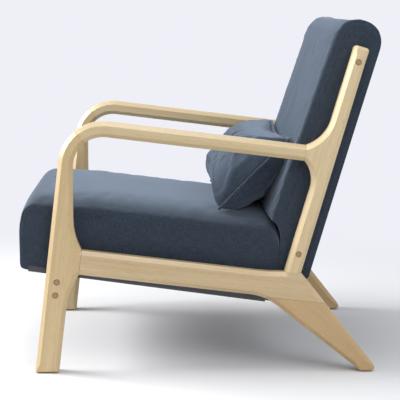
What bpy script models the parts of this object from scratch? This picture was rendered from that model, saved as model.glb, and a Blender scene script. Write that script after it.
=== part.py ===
"""Lounge chair: two wooden side frames, an upholstered seat and back, and a loose pillow with a zip.

Run in Blender 4.5 with: blender --background --python part.py
Units are metres. +Z is up, the chair faces -Y and +X is the sitter's left hand.
The origin is on the floor, under the middle of the chair.

The side frames and the seat share one tilted plane. In it, "along" runs backwards down the side
rail and "up" is square to the rail. The back has a steeper plane of its own, in which "along" is
zero on its rear face.
"""

import math

import bmesh
import bpy
from mathutils import Vector

# Clearances
GLUE_GAP = 0.0003  # between faces that touch
FIT_GAP = 0.0003  # round a tenon, bolt or plug in its hole
SOFT_GAP = 0.0005  # between upholstery pieces
FILL_GAP = 0.0010  # round a filling in its cover
SIDE_GAP = 0.0030  # between the upholstery and a side frame

# Whole chair
CHAIR_WIDTH = 0.650
CENTRING = 0.0025  # moves the middle of the chair's depth over the origin
FRAME_TILT = math.radians(6.8)
FRAME_HEIGHT = 0.1757  # the tilted plane's origin above the floor

# Side frames
FRAME_THICKNESS = 0.036
EDGE_CHAMFER = 0.009  # along the long edges
END_CHAMFER = 0.003  # at the feet
END_BAND = 0.022  # length over which the chamfer narrows towards an end
LEG_FRONT = -0.3437
LEG_FOOT_WIDTH = 0.0520
LEG_MIDDLE_WIDTH = 0.0465  # just above the rail
LEG_FLARE_TOP = 0.1350  # where the leg starts to swell above the rail
LEG_FLARE_BOTTOM = -0.0750  # and below it
RAIL_FRONT = -0.2715  # seam between leg and rail
RAIL_TOP = 0.0695
RAIL_HEIGHT = 0.0550
RAIL_RISE_LENGTH = 0.0600  # the rail's top curves up to the post over this length
ARM_TOP = 0.3587
ARM_HEIGHT = 0.0340
ARM_END = 0.1910  # seam between arm and post
BEND_OUTSIDE = 0.0990  # radius of the bend from leg to arm
BEND_INSIDE = 0.0660
POST_LEAN = math.radians(16.06)  # from vertical
POST_REAR = 0.2156  # rear edge of the post on the rail's top line
POST_FOOT_WIDTH = 0.0360
POST_TOP_WIDTH = 0.0325
POST_TOP_ROUND = 0.0070  # corners of the post's top
POST_END_CHAMFER = 0.0060  # along the top
POST_DROP = 0.0482  # post's top below the back's top
POST_FRONT_RISE = 0.0045  # post's lower end above the rail's top line, at its front
POST_REAR_RISE = 0.0065  # and at its rear
POST_FLARE_TOP = 0.4205
POST_FLARE_BOTTOM = 0.2650
REAR_LEG_JOIN = 0.1435  # where the rear leg's lower edge would meet the rail's lower edge
REAR_LEG_LOWER_SLOPE = math.radians(38.4)  # from the floor
REAR_LEG_UPPER_SLOPE = math.radians(51.8)
REAR_LEG_FILLET = 0.1150
REAR_LEG_NOSE = 0.1480  # blunt front end of the glued rear leg
HEEL_ROUND = 0.0080

# Loose tenons in the glued joints
TENON_THICKNESS = 0.0100
TENON_DEPTH = 0.0200  # into each piece
TENON_ROUND = 0.0020
MITRE_TENON_WIDTH = 0.0150
ARM_TENON_WIDTH = 0.0170
RAIL_TENON_WIDTH = 0.0320
POST_TENON_WIDTH = 0.0180

# Bolts, with a wooden plug over each head that shows
BOLT_DIAMETER = 0.0060
BOLT_HEAD_DIAMETER = 0.0115
BOLT_HEAD_HEIGHT = 0.0050
BOLT_GRIP = 0.0180  # length of bolt in the piece it holds
PLUG_DIAMETER = 0.0130
PLUG_LENGTH = 0.0070
PLUG_PROUD = 0.0006
STRETCHER_BOLT_ALONG = -0.3180
STRETCHER_BOLT_UPPER = -0.0065
STRETCHER_BOLT_SPACING = 0.0295
BACK_BOLT_DEPTH = 0.0430  # from the back's rear face
BACK_BOLT_LOWER = 0.0537  # up the back
BACK_BOLT_DROP = 0.0903  # from the back's top
SEAT_BACK_BOLT_SPREAD = 0.1600  # from the middle
SEAT_BACK_BOLT_UP = 0.0880
SEAT_BACK_BOLT_LENGTH = 0.0720

# Front stretcher and glides
STRETCHER_HEIGHT = 0.0500
STRETCHER_THICKNESS = 0.0240
STRETCHER_ROUND = 0.0030
GLIDE_DIAMETER = 0.0180
GLIDE_HEIGHT = 0.0020

# Upholstery
CUSHION_DRAW_IN = 0.0040  # how far a side panel pulls in between its ends
CROWN_POWER = 6  # higher keeps the crown flat further out to the sides
CROWN_FULLNESS = 0.7  # lower makes it roll over more steeply to the seams
COVER_WALL = 0.0040  # fabric with its wadding
COVER_TURN_UNDER = 0.0300  # fabric folded under the frame
FOAM_SIDE = 0.0120  # foam between the cover and a frame inside it

# Seat, in the tilted plane
SEAT_FRONT = -0.4040  # lower front edge
SEAT_FRONT_BULGE = 0.0125  # the front face swells this much past that edge
SEAT_FRONT_CROWN = 0.0010  # and this much more at the middle of its width
SEAT_REAR = 0.1667
SEAT_BASE_FRONT = 0.0065
SEAT_BASE_REAR = -0.0015
SEAT_HEIGHT = 0.1575  # seam between the side panels and the top
SEAT_CROWN = 0.0285
SEAT_TOP_ROUND = 0.0280
SEAT_TOP_ROUND_CROWN = 0.0080  # added to that radius in the middle
SEAT_NOSE_FALL = 0.0060  # the top falls this much to its front edge, twice that in the middle
SEAT_NOSE_LENGTH = 0.1400
SEAT_NOSE_SWEEP = 0.4000  # radius that eases into that fall
SEAT_FRONT_SWEEP = 0.1500  # radius of the front's swell
SEAT_LOWER_ROUND = 0.0100
SEAT_REAR_ROUND = 0.0500
SEAT_RAIL_HEIGHT = 0.0600
SEAT_REAR_RAIL_HEIGHT = 0.1000
SEAT_RAIL_THICKNESS = 0.0240
SEAT_FRAME_SETBACK = 0.0300  # front rail behind the seat's lower front edge
SEAT_FRAME_REAR_GAP = 0.0120  # rear rail in front of the seat's rear face
WEBBING_WIDTH = 0.1000
WEBBING_THICKNESS = 0.0020
WEBBING_LAP = 0.0180  # webbing lying on each side rail
DUST_COVER_THICKNESS = 0.0010
DUST_COVER_LAP = 0.0150  # past the opening that it closes

# Back, in its own plane
BACK_LEAN = math.radians(16.43)  # from vertical
BACK_ALONG = 0.2384  # rear lower edge, in the tilted plane
BACK_UP = 0.0579
BACK_LENGTH = 0.5845
BACK_TOP_DEPTH = 0.0980  # at the side seams
BACK_CROWN = 0.0150
BACK_TOP_FALL = 0.0045  # the top is this much lower in the middle of its width
BACK_FRONT_ROUND = 0.0480
BACK_REAR_ROUND = 0.0480
BACK_TOUCH_SIDE = math.radians(62)  # round the seat's rear edge, to where the back's front lands
BACK_TOUCH_MIDDLE = math.radians(75)
BACK_UPRIGHT_DEPTH = 0.0500
BACK_UPRIGHT_THICKNESS = 0.0260
BACK_RAIL_HEIGHT = 0.0340
BACK_FRAME_BOTTOM = 0.0060
BACK_FRAME_DROP = 0.0560  # inner frame's top below the back's top

# Pillow, in the plane of its seam
PILLOW_WIDTH = 0.5000
PILLOW_HEIGHT = 0.2180
PILLOW_FRONT_DEPTH = 0.0720
PILLOW_REAR_DEPTH = 0.0700  # where neither the seat nor the back presses it flat
PILLOW_CORNER = 0.0140
PILLOW_DRAW_IN = 0.0070  # how far the seam pulls in between its corners at an end
PILLOW_TOP_DRAW_IN = 0.0140  # and along the top
PILLOW_LEAN = math.radians(45)
PILLOW_ALONG = 0.0255  # middle of the lower seam, in the tilted plane
PILLOW_STAND = 0.0044  # and above the middle of the seat
PILLOW_REST_GAP = 0.0008  # between its flattened rear and what it rests on
PILLOW_SETTLE = 0.2500  # share by which it is fuller at its foot and thinner at its top
PILLOW_WALL = 0.0030
PILLOW_SEAM = 0.0080  # from the piping to the inside of the cover
PILLOW_FULLNESS = 2.6  # higher keeps the pillow thick further out
PILLOW_STEEPNESS = 0.56  # lower makes it leave the seam more steeply
PIPING_RADIUS = 0.0025
PIPING_INSET = 0.0055  # where the piping's groove lies
PIPING_GROOVE = 0.0028  # thickness there
ZIP_LENGTH = 0.4400
ZIP_SLOT = 0.0014
ZIP_SLIDER_LENGTH = 0.0100
ZIP_SLIDER_WALL = 0.0012
ZIP_SLIDER_REACH = 0.0042  # past the piping's edge, towards the pillow
ZIP_PULL_LENGTH = 0.0150
ZIP_PULL_WIDTH = 0.0060
ZIP_PULL_THICKNESS = 0.0014

# Facets
ARC_STEP = math.radians(5)
CUSHION_STEPS = 5
NOTCH_STEPS = 9
ROUND_SIDES = 14
STATIONS = (0.0, 0.30, 0.56, 0.78, 0.90, 0.96, 0.988, 1.0)
CAVITY_STATIONS = (0.0, 0.45, 0.78, 0.92, 1.0)
PILLOW_RINGS = (0.965, 0.91, 0.83, 0.72, 0.58, 0.41, 0.21)
CAVITY_RINGS = (0.94, 0.82, 0.62, 0.35)
PILLOW_CORNER_STEPS = 3
PILLOW_SIDE_POINTS = 6
FAR = 2.0  # reach of a cutter past the chair

# Worked out from the sizes above
FRAME_MIDDLE = CHAIR_WIDTH / 2 - FRAME_THICKNESS / 2
FRAME_INNER = CHAIR_WIDTH / 2 - FRAME_THICKNESS
CUSHION_HALF = FRAME_INNER - SIDE_GAP
FRAME_HALF = CUSHION_HALF - COVER_WALL - SOFT_GAP - FOAM_SIDE
RAIL_BOTTOM = RAIL_TOP - RAIL_HEIGHT
ARM_BOTTOM = ARM_TOP - ARM_HEIGHT
POST_TURN = POST_LEAN - FRAME_TILT
POST_TOP = BACK_UP + BACK_LENGTH * math.cos(BACK_LEAN - FRAME_TILT) - POST_DROP
BACK_BOLT_UPPER = BACK_LENGTH - BACK_BOLT_DROP
BACK_FRAME_TOP = BACK_LENGTH - BACK_FRAME_DROP
SEAT_TOP = SEAT_HEIGHT + SEAT_CROWN
SEAT_BASE_TURN = math.atan2(SEAT_BASE_FRONT - SEAT_BASE_REAR, SEAT_REAR - SEAT_FRONT)
FOAM_INSET = COVER_WALL + FILL_GAP
FRAME_LIFT = COVER_WALL + GLUE_GAP  # inner frames lie on the cover's turned-under edge
SIDES = (("left", 1), ("right", -1))


def clear_scene():
    for obj in list(bpy.data.objects):
        bpy.data.objects.remove(obj, do_unlink=True)


def material(name, colour, roughness, metallic=0.0):
    made = bpy.data.materials.new(name)
    made.use_nodes = True
    shader = made.node_tree.nodes["Principled BSDF"]
    shader.inputs["Base Color"].default_value = (*colour, 1.0)
    shader.inputs["Roughness"].default_value = roughness
    shader.inputs["Metallic"].default_value = metallic
    return made


def empty(name, parent, location, tilt_back):
    made = bpy.data.objects.new(name, None)
    bpy.context.scene.collection.objects.link(made)
    made.parent = parent
    made.location = location
    made.rotation_euler = (-tilt_back, 0.0, 0.0)
    return made


def place(name, mesh, parent, finish, location=(0.0, 0.0, 0.0)):
    """A named sub-part with this mesh, under its parent empty."""
    obj = bpy.data.objects.new(name, mesh)
    bpy.context.scene.collection.objects.link(obj)
    obj.parent = parent
    obj.location = location
    if not mesh.materials:
        mesh.materials.append(finish)
    return obj


def cutter(name, mesh, parent):
    obj = bpy.data.objects.new(name, mesh)
    bpy.context.scene.collection.objects.link(obj)
    obj.parent = parent
    obj.hide_render = True
    obj.display_type = "WIRE"
    return obj


def cut(obj, tool, operation="DIFFERENCE"):
    modifier = obj.modifiers.new(tool.name, "BOOLEAN")
    modifier.object = tool
    modifier.operation = operation
    modifier.solver = "EXACT"


def finished(name, bm):
    """A mesh from this bmesh, with its faces turned outwards."""
    bmesh.ops.recalc_face_normals(bm, faces=bm.faces)
    mesh = bpy.data.meshes.new(name)
    bm.to_mesh(mesh)
    bm.free()
    return mesh


def add_box(bm, low, high, rounding=0.0):
    corners = bmesh.ops.create_cube(bm, size=1.0)["verts"]
    size = Vector(high) - Vector(low)
    middle = (Vector(high) + Vector(low)) / 2
    for vert in corners:
        vert.co = middle + vert.co * size
    if rounding:
        edges = list({edge for vert in corners for edge in vert.link_edges})
        bmesh.ops.bevel(bm, geom=edges, offset=rounding, segments=2, profile=0.5, affect="EDGES")


def box(name, low, high, rounding=0.0):
    bm = bmesh.new()
    add_box(bm, low, high, rounding)
    return finished(name, bm)


def skin(bm, rings):
    """Joins a row of closed rings of points into one closed surface; it returns the two end faces."""
    rows = [[bm.verts.new(point) for point in ring] for ring in rings]
    count = len(rows[0])
    for row, following in zip(rows, rows[1:]):
        for i in range(count):
            j = (i + 1) % count
            bm.faces.new((row[i], row[j], following[j], following[i]))
    return [bm.faces.new(rows[0]), bm.faces.new(rows[-1])]


def add_turned(bm, profile, start, heading):
    """A solid turned about the line from start along heading; profile holds (distance, radius)."""
    heading = Vector(heading).normalized()
    across = heading.orthogonal().normalized()
    other = heading.cross(across)
    turns = [2 * math.pi * i / ROUND_SIDES for i in range(ROUND_SIDES)]
    spokes = [math.cos(turn) * across + math.sin(turn) * other for turn in turns]
    rings = []
    for distance, radius in profile:
        middle = Vector(start) + heading * distance
        rings.append([middle + spoke * radius for spoke in spokes])
    skin(bm, rings)


def arc_points(centre, radius, start, end, steps=None):
    """Points on an arc between two angles, both ends included."""
    steps = steps or max(2, math.ceil(abs(end - start) / ARC_STEP))
    turns = [start + (end - start) * i / steps for i in range(steps + 1)]
    return [centre + radius * Vector((math.cos(turn), math.sin(turn))) for turn in turns]


def arc_between(centre, first, last, steps=None):
    """The shorter arc about centre from one point to another."""
    start = math.atan2(first.y - centre.y, first.x - centre.x)
    end = math.atan2(last.y - centre.y, last.x - centre.x)
    sweep = (end - start + math.pi) % (2 * math.pi) - math.pi
    return arc_points(centre, (first - centre).length, start, start + sweep, steps)


def rounded_corner(before, corner, after, radius, steps=None):
    """The points that replace a corner when it is rounded."""
    arriving = (before - corner).normalized()
    leaving = (after - corner).normalized()
    half = arriving.angle(leaving) / 2
    centre = corner + (arriving + leaving).normalized() * (radius / math.sin(half))
    reach = radius / math.tan(half)
    return arc_between(centre, corner + arriving * reach, corner + leaving * reach, steps)


def flare(start, heading, end):
    """An arc that leaves start along heading and ends at end."""
    chord = end - start
    side = Vector((-heading.y, heading.x)).normalized()
    centre = start + side * (chord.length_squared / (2 * chord.dot(side)))
    return arc_between(centre, start, end)


def meet(first, heading, second, other_heading):
    """Where two lines cross."""
    gap = second - first
    reach = gap.cross(other_heading) / heading.cross(other_heading)
    return first + heading * reach


def inset_loop(points, distances):
    """A closed outline moved to the right of its direction of travel, by a distance at each point."""
    moved = []
    for i, point in enumerate(points):
        arriving = (point - points[i - 1]).normalized()
        leaving = (points[(i + 1) % len(points)] - point).normalized()
        across = Vector((arriving.y + leaving.y, -arriving.x - leaving.x)).normalized()
        square = Vector((arriving.y, -arriving.x))
        moved.append(point + across * (distances[i] / across.dot(square)))
    return moved


def to_chair(along, up):
    """A point of the tilted plane as (Y, Z) of the chair."""
    across = along * math.cos(FRAME_TILT) + up * math.sin(FRAME_TILT)
    height = FRAME_HEIGHT - along * math.sin(FRAME_TILT) + up * math.cos(FRAME_TILT)
    return across, height


def in_leaning_plane(point, origin, lean):
    """A point (Y, Z) of the chair in a plane that leans back from its origin, as (rearwards, up)."""
    rearwards = point[0] - origin[0]
    upwards = point[1] - origin[1]
    out = rearwards * math.cos(lean) - upwards * math.sin(lean)
    return Vector((out, rearwards * math.sin(lean) + upwards * math.cos(lean)))


def to_back(point):
    """A point of the tilted plane in the back's own plane."""
    return in_leaning_plane(to_chair(*point), to_chair(BACK_ALONG, BACK_UP), BACK_LEAN)


def to_pillow(point):
    """A point (Y, Z) of the chair in the pillow's plane."""
    return in_leaning_plane(point, to_chair(PILLOW_ALONG, SEAT_TOP + PILLOW_STAND), PILLOW_LEAN)


def from_back(along, up):
    """A point of the back's plane as (Y, Z) of the chair."""
    rear, base = to_chair(BACK_ALONG, BACK_UP)
    across = rear + along * math.cos(BACK_LEAN) + up * math.sin(BACK_LEAN)
    return across, base - along * math.sin(BACK_LEAN) + up * math.cos(BACK_LEAN)


def seat_edge(turn, away=0.0):
    """A point on the rounded upper rear edge of the seat's middle, or this far off it."""
    centre = Vector((SEAT_REAR - SEAT_REAR_ROUND, SEAT_TOP - SEAT_REAR_ROUND))
    return centre + (SEAT_REAR_ROUND + away) * Vector((math.cos(turn), math.sin(turn)))


# Side frame outlines


def floor_line():
    """A point on the feet's undersides, and the floor's heading, in the tilted plane."""
    lift = GLIDE_HEIGHT + GLUE_GAP - FRAME_HEIGHT
    point = Vector((0.0, lift / math.cos(FRAME_TILT)))
    return point, Vector((math.cos(FRAME_TILT), math.sin(FRAME_TILT)))


def foot_corner(along):
    return meet(Vector((along, 0.0)), Vector((0.0, 1.0)), *floor_line())


def post_point(up, at_front):
    """A point on the post's rear edge, or on its front edge."""
    rise = (up - RAIL_TOP) / (POST_TOP - RAIL_TOP)
    width = POST_FOOT_WIDTH + (POST_TOP_WIDTH - POST_FOOT_WIDTH) * rise
    rear = POST_REAR + (up - RAIL_TOP) * math.tan(POST_TURN)
    return Vector((rear - at_front * width / math.cos(POST_TURN), up))


def post_heading():
    """The post's front edge, upwards."""
    return (post_point(POST_TOP, True) - post_point(RAIL_TOP, True)).normalized()


def post_foot():
    """Front and rear corners of the post's lower end, where it stands on the rail."""
    front = post_point(RAIL_TOP + POST_FRONT_RISE, True)
    return front, post_point(RAIL_TOP + POST_REAR_RISE, False)


def rear_foot():
    """Toe and heel corners of the rear leg, before the heel is rounded."""
    lower = REAR_LEG_LOWER_SLOPE - FRAME_TILT
    upper = REAR_LEG_UPPER_SLOPE - FRAME_TILT
    join = Vector((REAR_LEG_JOIN, RAIL_BOTTOM))
    toe = meet(join, Vector((math.cos(lower), -math.sin(lower))), *floor_line())
    heel = meet(post_foot()[1], Vector((math.cos(upper), -math.sin(upper))), *floor_line())
    return toe, heel


def leg_rear_heading():
    """The upper leg's rear edge is plumb."""
    return Vector((-math.sin(FRAME_TILT), math.cos(FRAME_TILT)))


def outside_outline():
    """The frame's outside, clockwise from the front foot, as (point, chamfer) pairs."""
    toe_front = foot_corner(LEG_FRONT)
    toe_rear = foot_corner(LEG_FRONT + LEG_FOOT_WIDTH)
    band = Vector((0.0, END_BAND))
    bend = Vector((LEG_FRONT, ARM_TOP))
    arm_corner = Vector((ARM_END, ARM_TOP))
    lean = POST_TOP_WIDTH / 2 * math.sin(POST_TURN)
    top_front = post_point(POST_TOP + lean, True)
    top_rear = post_point(POST_TOP - lean, False)
    below = post_heading() * END_BAND
    top = rounded_corner(top_front - below, top_front, top_rear, POST_TOP_ROUND, CUSHION_STEPS)
    top += rounded_corner(top_front, top_rear, top_rear - below, POST_TOP_ROUND, CUSHION_STEPS)
    toe, heel = rear_foot()
    heel_top = post_foot()[1]
    join = Vector((REAR_LEG_JOIN, RAIL_BOTTOM))
    rail_corner = Vector((RAIL_FRONT, RAIL_BOTTOM))
    leg_low = Vector((LEG_FRONT + LEG_FOOT_WIDTH, LEG_FLARE_BOTTOM))
    heel_arc = rounded_corner(heel_top, heel, toe, HEEL_ROUND)
    full = [toe_front + band]
    full += rounded_corner(toe_front, bend, arm_corner, BEND_OUTSIDE)
    full += reversed(flare(post_point(POST_FLARE_TOP, True), -post_heading(), arm_corner))
    full.append(top_front - below)
    rear_run = [top_rear - below, heel_top]
    rear_run.append(heel_arc[0] + (heel_top - heel).normalized() * END_BAND)
    under = [toe + (join - toe).normalized() * END_BAND]
    under += rounded_corner(toe, join, rail_corner, REAR_LEG_FILLET)
    under += reversed(flare(leg_low, Vector((0.0, 1.0)), rail_corner))
    under.append(toe_rear + band)
    outline = [(toe_front, END_CHAMFER)]
    outline += [(point, EDGE_CHAMFER) for point in full]
    outline += [(point, POST_END_CHAMFER) for point in top]
    outline += [(point, EDGE_CHAMFER) for point in rear_run]
    outline += [(point, END_CHAMFER) for point in heel_arc + [toe]]
    outline += [(point, EDGE_CHAMFER) for point in under]
    return outline + [(toe_rear, END_CHAMFER)]


def window_outline():
    """The opening between leg, arm, post and rail, anticlockwise from the rail's front."""
    rail_corner = Vector((RAIL_FRONT, RAIL_TOP))
    foot_front = post_foot()[0]
    arm_corner = Vector((ARM_END, ARM_BOTTOM))
    leg_high = Vector((LEG_FRONT + LEG_MIDDLE_WIDTH, LEG_FLARE_TOP))
    bend = meet(leg_high, leg_rear_heading(), arm_corner, Vector((1.0, 0.0)))
    rise_start = Vector((foot_front.x - RAIL_RISE_LENGTH, RAIL_TOP))
    points = [rail_corner]
    points += flare(rise_start, Vector((1.0, 0.0)), foot_front)
    points += flare(post_point(POST_FLARE_BOTTOM, True), post_heading(), arm_corner)
    points += rounded_corner(arm_corner, bend, leg_high, BEND_INSIDE)
    points += flare(leg_high, -leg_rear_heading(), rail_corner)[:-1]
    return [(point, EDGE_CHAMFER) for point in points]


def add_chamfered_wall(bm, outline):
    """The edge faces of a board along one outline; returns its two cap loops."""
    points = [point for point, _ in outline]
    chamfers = [size for _, size in outline]
    drawn_in = inset_loop(points, chamfers)
    half = FRAME_THICKNESS / 2
    rows = [
        [(half, point.x, point.y) for point in drawn_in],
        [(half - size, point.x, point.y) for point, size in outline],
        [(size - half, point.x, point.y) for point, size in outline],
        [(-half, point.x, point.y) for point in drawn_in],
    ]
    rows = [[bm.verts.new(corner) for corner in row] for row in rows]
    count = len(points)
    for row, following in zip(rows, rows[1:]):
        for i in range(count):
            j = (i + 1) % count
            bm.faces.new((row[i], row[j], following[j], following[i]))
    return rows[0], rows[-1]


def side_frame_mesh():
    """One side frame before it is cut into its pieces."""
    bm = bmesh.new()
    outside = add_chamfered_wall(bm, outside_outline())
    window = add_chamfered_wall(bm, window_outline())
    for rim, hole in zip(outside, window):
        edges = []
        for loop in (rim, hole):
            edges += [bm.edges.get((loop[i - 1], loop[i])) for i in range(len(loop))]
        bmesh.ops.triangle_fill(bm, edges=edges, use_beauty=True)
    return finished("side_frame", bm)


def frame_regions():
    """For each piece of a side frame, the part of the tilted plane that it is cut from."""
    corner = Vector((LEG_FRONT, ARM_TOP))
    mitre_in = corner + Vector((BEND_OUTSIDE, -BEND_OUTSIDE))
    mitre_out = corner - Vector((BEND_OUTSIDE, -BEND_OUTSIDE))
    middle = mitre_in.y
    foot_front, foot_rear = post_foot()
    seam = foot_rear - foot_front
    seam_start = foot_front - seam * (RAIL_RISE_LENGTH / 6 / seam.length)
    seam_end = foot_front + seam * (FAR / seam.length)
    below = RAIL_BOTTOM - RAIL_HEIGHT / 2
    return {
        "front_leg": [
            mitre_out,
            mitre_in,
            (RAIL_FRONT, middle),
            (RAIL_FRONT, -FAR),
            (-FAR, -FAR),
            (-FAR, mitre_out.y),
        ],
        "arm": [mitre_in, mitre_out, (ARM_END, mitre_out.y), (ARM_END, middle)],
        "back_post": [
            (ARM_END, middle),
            (ARM_END, FAR),
            (FAR, FAR),
            seam_end,
            seam_start,
            (seam_start.x, middle),
        ],
        "side_rail": [
            (RAIL_FRONT, below),
            (RAIL_FRONT, middle),
            (seam_start.x, middle),
            seam_start,
            seam_end,
            (seam_end.x, RAIL_BOTTOM),
            (REAR_LEG_NOSE, RAIL_BOTTOM),
            (REAR_LEG_NOSE, below),
        ],
        "rear_leg": [
            (REAR_LEG_NOSE, -FAR),
            (REAR_LEG_NOSE, RAIL_BOTTOM),
            (FAR, RAIL_BOTTOM),
            (FAR, -FAR),
        ],
    }


def region_mesh(name, corners):
    """A prism through both side frames, drawn in by half a glue gap."""
    points = [Vector(corner) for corner in corners]
    area = sum(points[i - 1].cross(point) for i, point in enumerate(points))
    if area > 0:
        points.reverse()
    loop = inset_loop(points, [GLUE_GAP / 2] * len(points))
    rings = [[Vector((x, point.x, point.y)) for point in loop] for x in (-CHAIR_WIDTH, CHAIR_WIDTH)]
    bm = bmesh.new()
    skin(bm, rings)
    return finished(name, bm)


def tenons():
    """Each loose tenon's middle, its heading across the seam, its width and the pieces it joins."""
    diagonal = Vector((1.0, -1.0)).normalized()
    bow = math.sqrt(2) - 1
    mitre_reach = ((BEND_OUTSIDE + BEND_INSIDE) * bow + ARM_HEIGHT * math.sqrt(2)) / 2
    foot_front, foot_rear = post_foot()
    along = Vector((1.0, 0.0))
    return {
        "mitre_tenon": (
            Vector((LEG_FRONT, ARM_TOP)) + diagonal * mitre_reach,
            Vector((1.0, 1.0)).normalized(),
            MITRE_TENON_WIDTH,
            ("front_leg", "arm"),
        ),
        "arm_tenon": (
            Vector((ARM_END, ARM_TOP - ARM_HEIGHT / 2)),
            along,
            ARM_TENON_WIDTH,
            ("arm", "back_post"),
        ),
        "rail_tenon": (
            Vector((RAIL_FRONT, RAIL_TOP - RAIL_HEIGHT / 2)),
            along,
            RAIL_TENON_WIDTH,
            ("front_leg", "side_rail"),
        ),
        "post_tenon": (
            (foot_front + foot_rear) / 2,
            post_heading(),
            POST_TENON_WIDTH,
            ("back_post", "side_rail"),
        ),
    }


def add_tenon(bm, tenon, across, spare=0.0):
    """A loose tenon across its seam; spare widens it into the pocket that it fits."""
    middle, heading, width, _ = tenon
    side = Vector((heading.y, -heading.x))
    half_width = width / 2 + spare
    half_thick = TENON_THICKNESS / 2 + spare
    quarter = [
        (half_width, half_thick - TENON_ROUND),
        (half_width - TENON_ROUND, half_thick),
    ]
    section = list(quarter)
    section += [(-wide, thick) for wide, thick in reversed(quarter)]
    section += [(-wide, -thick) for wide, thick in quarter]
    section += [(wide, -thick) for wide, thick in reversed(quarter)]
    rings = []
    for end in (-TENON_DEPTH - spare, TENON_DEPTH + spare):
        ring = []
        for wide, thick in section:
            point = middle + heading * end + side * wide
            ring.append(Vector((across + thick, point.x, point.y)))
        rings.append(ring)
    skin(bm, rings)


def pocket_mesh(name, tenon):
    """The pockets for one tenon in both side frames."""
    bm = bmesh.new()
    for _, side in SIDES:
        add_tenon(bm, tenon, side * FRAME_MIDDLE, FIT_GAP)
    return finished(name, bm)


# Bolts through the side frames, measured inwards from a frame's outer face


def add_bolt(bm, side, along, up, reach):
    head = PLUG_LENGTH - PLUG_PROUD + GLUE_GAP
    under = head + BOLT_HEAD_HEIGHT
    profile = (
        (head, BOLT_HEAD_DIAMETER / 2),
        (under, BOLT_HEAD_DIAMETER / 2),
        (under, BOLT_DIAMETER / 2),
        (reach, BOLT_DIAMETER / 2),
    )
    add_turned(bm, profile, (side * CHAIR_WIDTH / 2, along, up), (-side, 0.0, 0.0))


def add_bolt_hole(bm, side, along, up, reach):
    bore = PLUG_DIAMETER / 2 + FIT_GAP
    shank = BOLT_DIAMETER / 2 + FIT_GAP
    floor = PLUG_LENGTH - PLUG_PROUD + BOLT_HEAD_HEIGHT + 2 * GLUE_GAP
    profile = ((-PLUG_LENGTH, bore), (floor, bore), (floor, shank), (reach + FIT_GAP, shank))
    add_turned(bm, profile, (side * CHAIR_WIDTH / 2, along, up), (-side, 0.0, 0.0))


def add_plug(bm, side, along, up):
    radius = PLUG_DIAMETER / 2
    profile = ((-PLUG_PROUD, radius - PLUG_PROUD), (0.0, radius), (PLUG_LENGTH - PLUG_PROUD, radius))
    add_turned(bm, profile, (side * CHAIR_WIDTH / 2, along, up), (-side, 0.0, 0.0))


def holes_mesh(name, spots, reach):
    """Bolt holes through both side frames at each of these places."""
    bm = bmesh.new()
    for _, side in SIDES:
        for along, up in spots:
            add_bolt_hole(bm, side, along, up, reach)
    return finished(name, bm)


# Upholstery sections


def rounded_outline(corners):
    """A closed outline from corners given as (along, up, radius, steps)."""
    points = []
    for i, (along, up, radius, steps) in enumerate(corners):
        corner = Vector((along, up))
        if not radius:
            points.append(corner)
            continue
        before = Vector(corners[i - 1][:2])
        after = Vector(corners[(i + 1) % len(corners)][:2])
        points += rounded_corner(before, corner, after, radius, steps)
    return points


def plain_corners(first, last, count):
    """Corners without a radius, spaced evenly between two points."""
    shares = [(step + 1) / (count + 1) for step in range(count)]
    return [(*(first + (last - first) * share), 0.0, 0) for share in shares]


def seat_base(along):
    share = (along - SEAT_FRONT) / (SEAT_REAR - SEAT_FRONT)
    return SEAT_BASE_FRONT + (SEAT_BASE_REAR - SEAT_BASE_FRONT) * share


def seat_outline(inset, crown):
    """The seat's section, from its lower front edge up and over; crown is 1 in the middle, 0 at a side."""
    front = SEAT_FRONT - SEAT_FRONT_CROWN * crown + inset
    rear = SEAT_REAR - inset
    top = SEAT_HEIGHT + SEAT_CROWN * crown - inset
    nose = top - SEAT_NOSE_FALL * (1 + crown)
    nose_round = SEAT_TOP_ROUND + SEAT_TOP_ROUND_CROWN * crown
    crest = Vector((SEAT_FRONT + SEAT_NOSE_LENGTH, top))
    base_front = Vector((SEAT_FRONT, seat_base(SEAT_FRONT) + inset))
    base_rear = Vector((rear, seat_base(SEAT_REAR) + inset))
    corners = [
        (front, base_front.y, SEAT_LOWER_ROUND - inset, CUSHION_STEPS),
        (front - SEAT_FRONT_BULGE, SEAT_HEIGHT * 0.65, SEAT_FRONT_SWEEP - inset, 2),
        (front - SEAT_FRONT_BULGE / 2, nose, nose_round - inset, CUSHION_STEPS),
        (crest.x, crest.y, SEAT_NOSE_SWEEP, 2),
    ]
    corners += plain_corners(crest, Vector((rear - SEAT_REAR_ROUND, top)), 2)
    corners.append((rear, top, SEAT_REAR_ROUND - inset, CUSHION_STEPS + 1))
    corners.append((base_rear.x, base_rear.y, 0.0, 0))
    corners += plain_corners(base_rear, base_front, 3)
    return rounded_outline(corners)


def seat_draw_in(point):
    """How much of the draw-in the seat's side has at this point."""
    share = (point.x - SEAT_FRONT) / (SEAT_REAR - SEAT_FRONT)
    return math.sin(math.pi * min(max(share, 0.0), 1.0))


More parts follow.
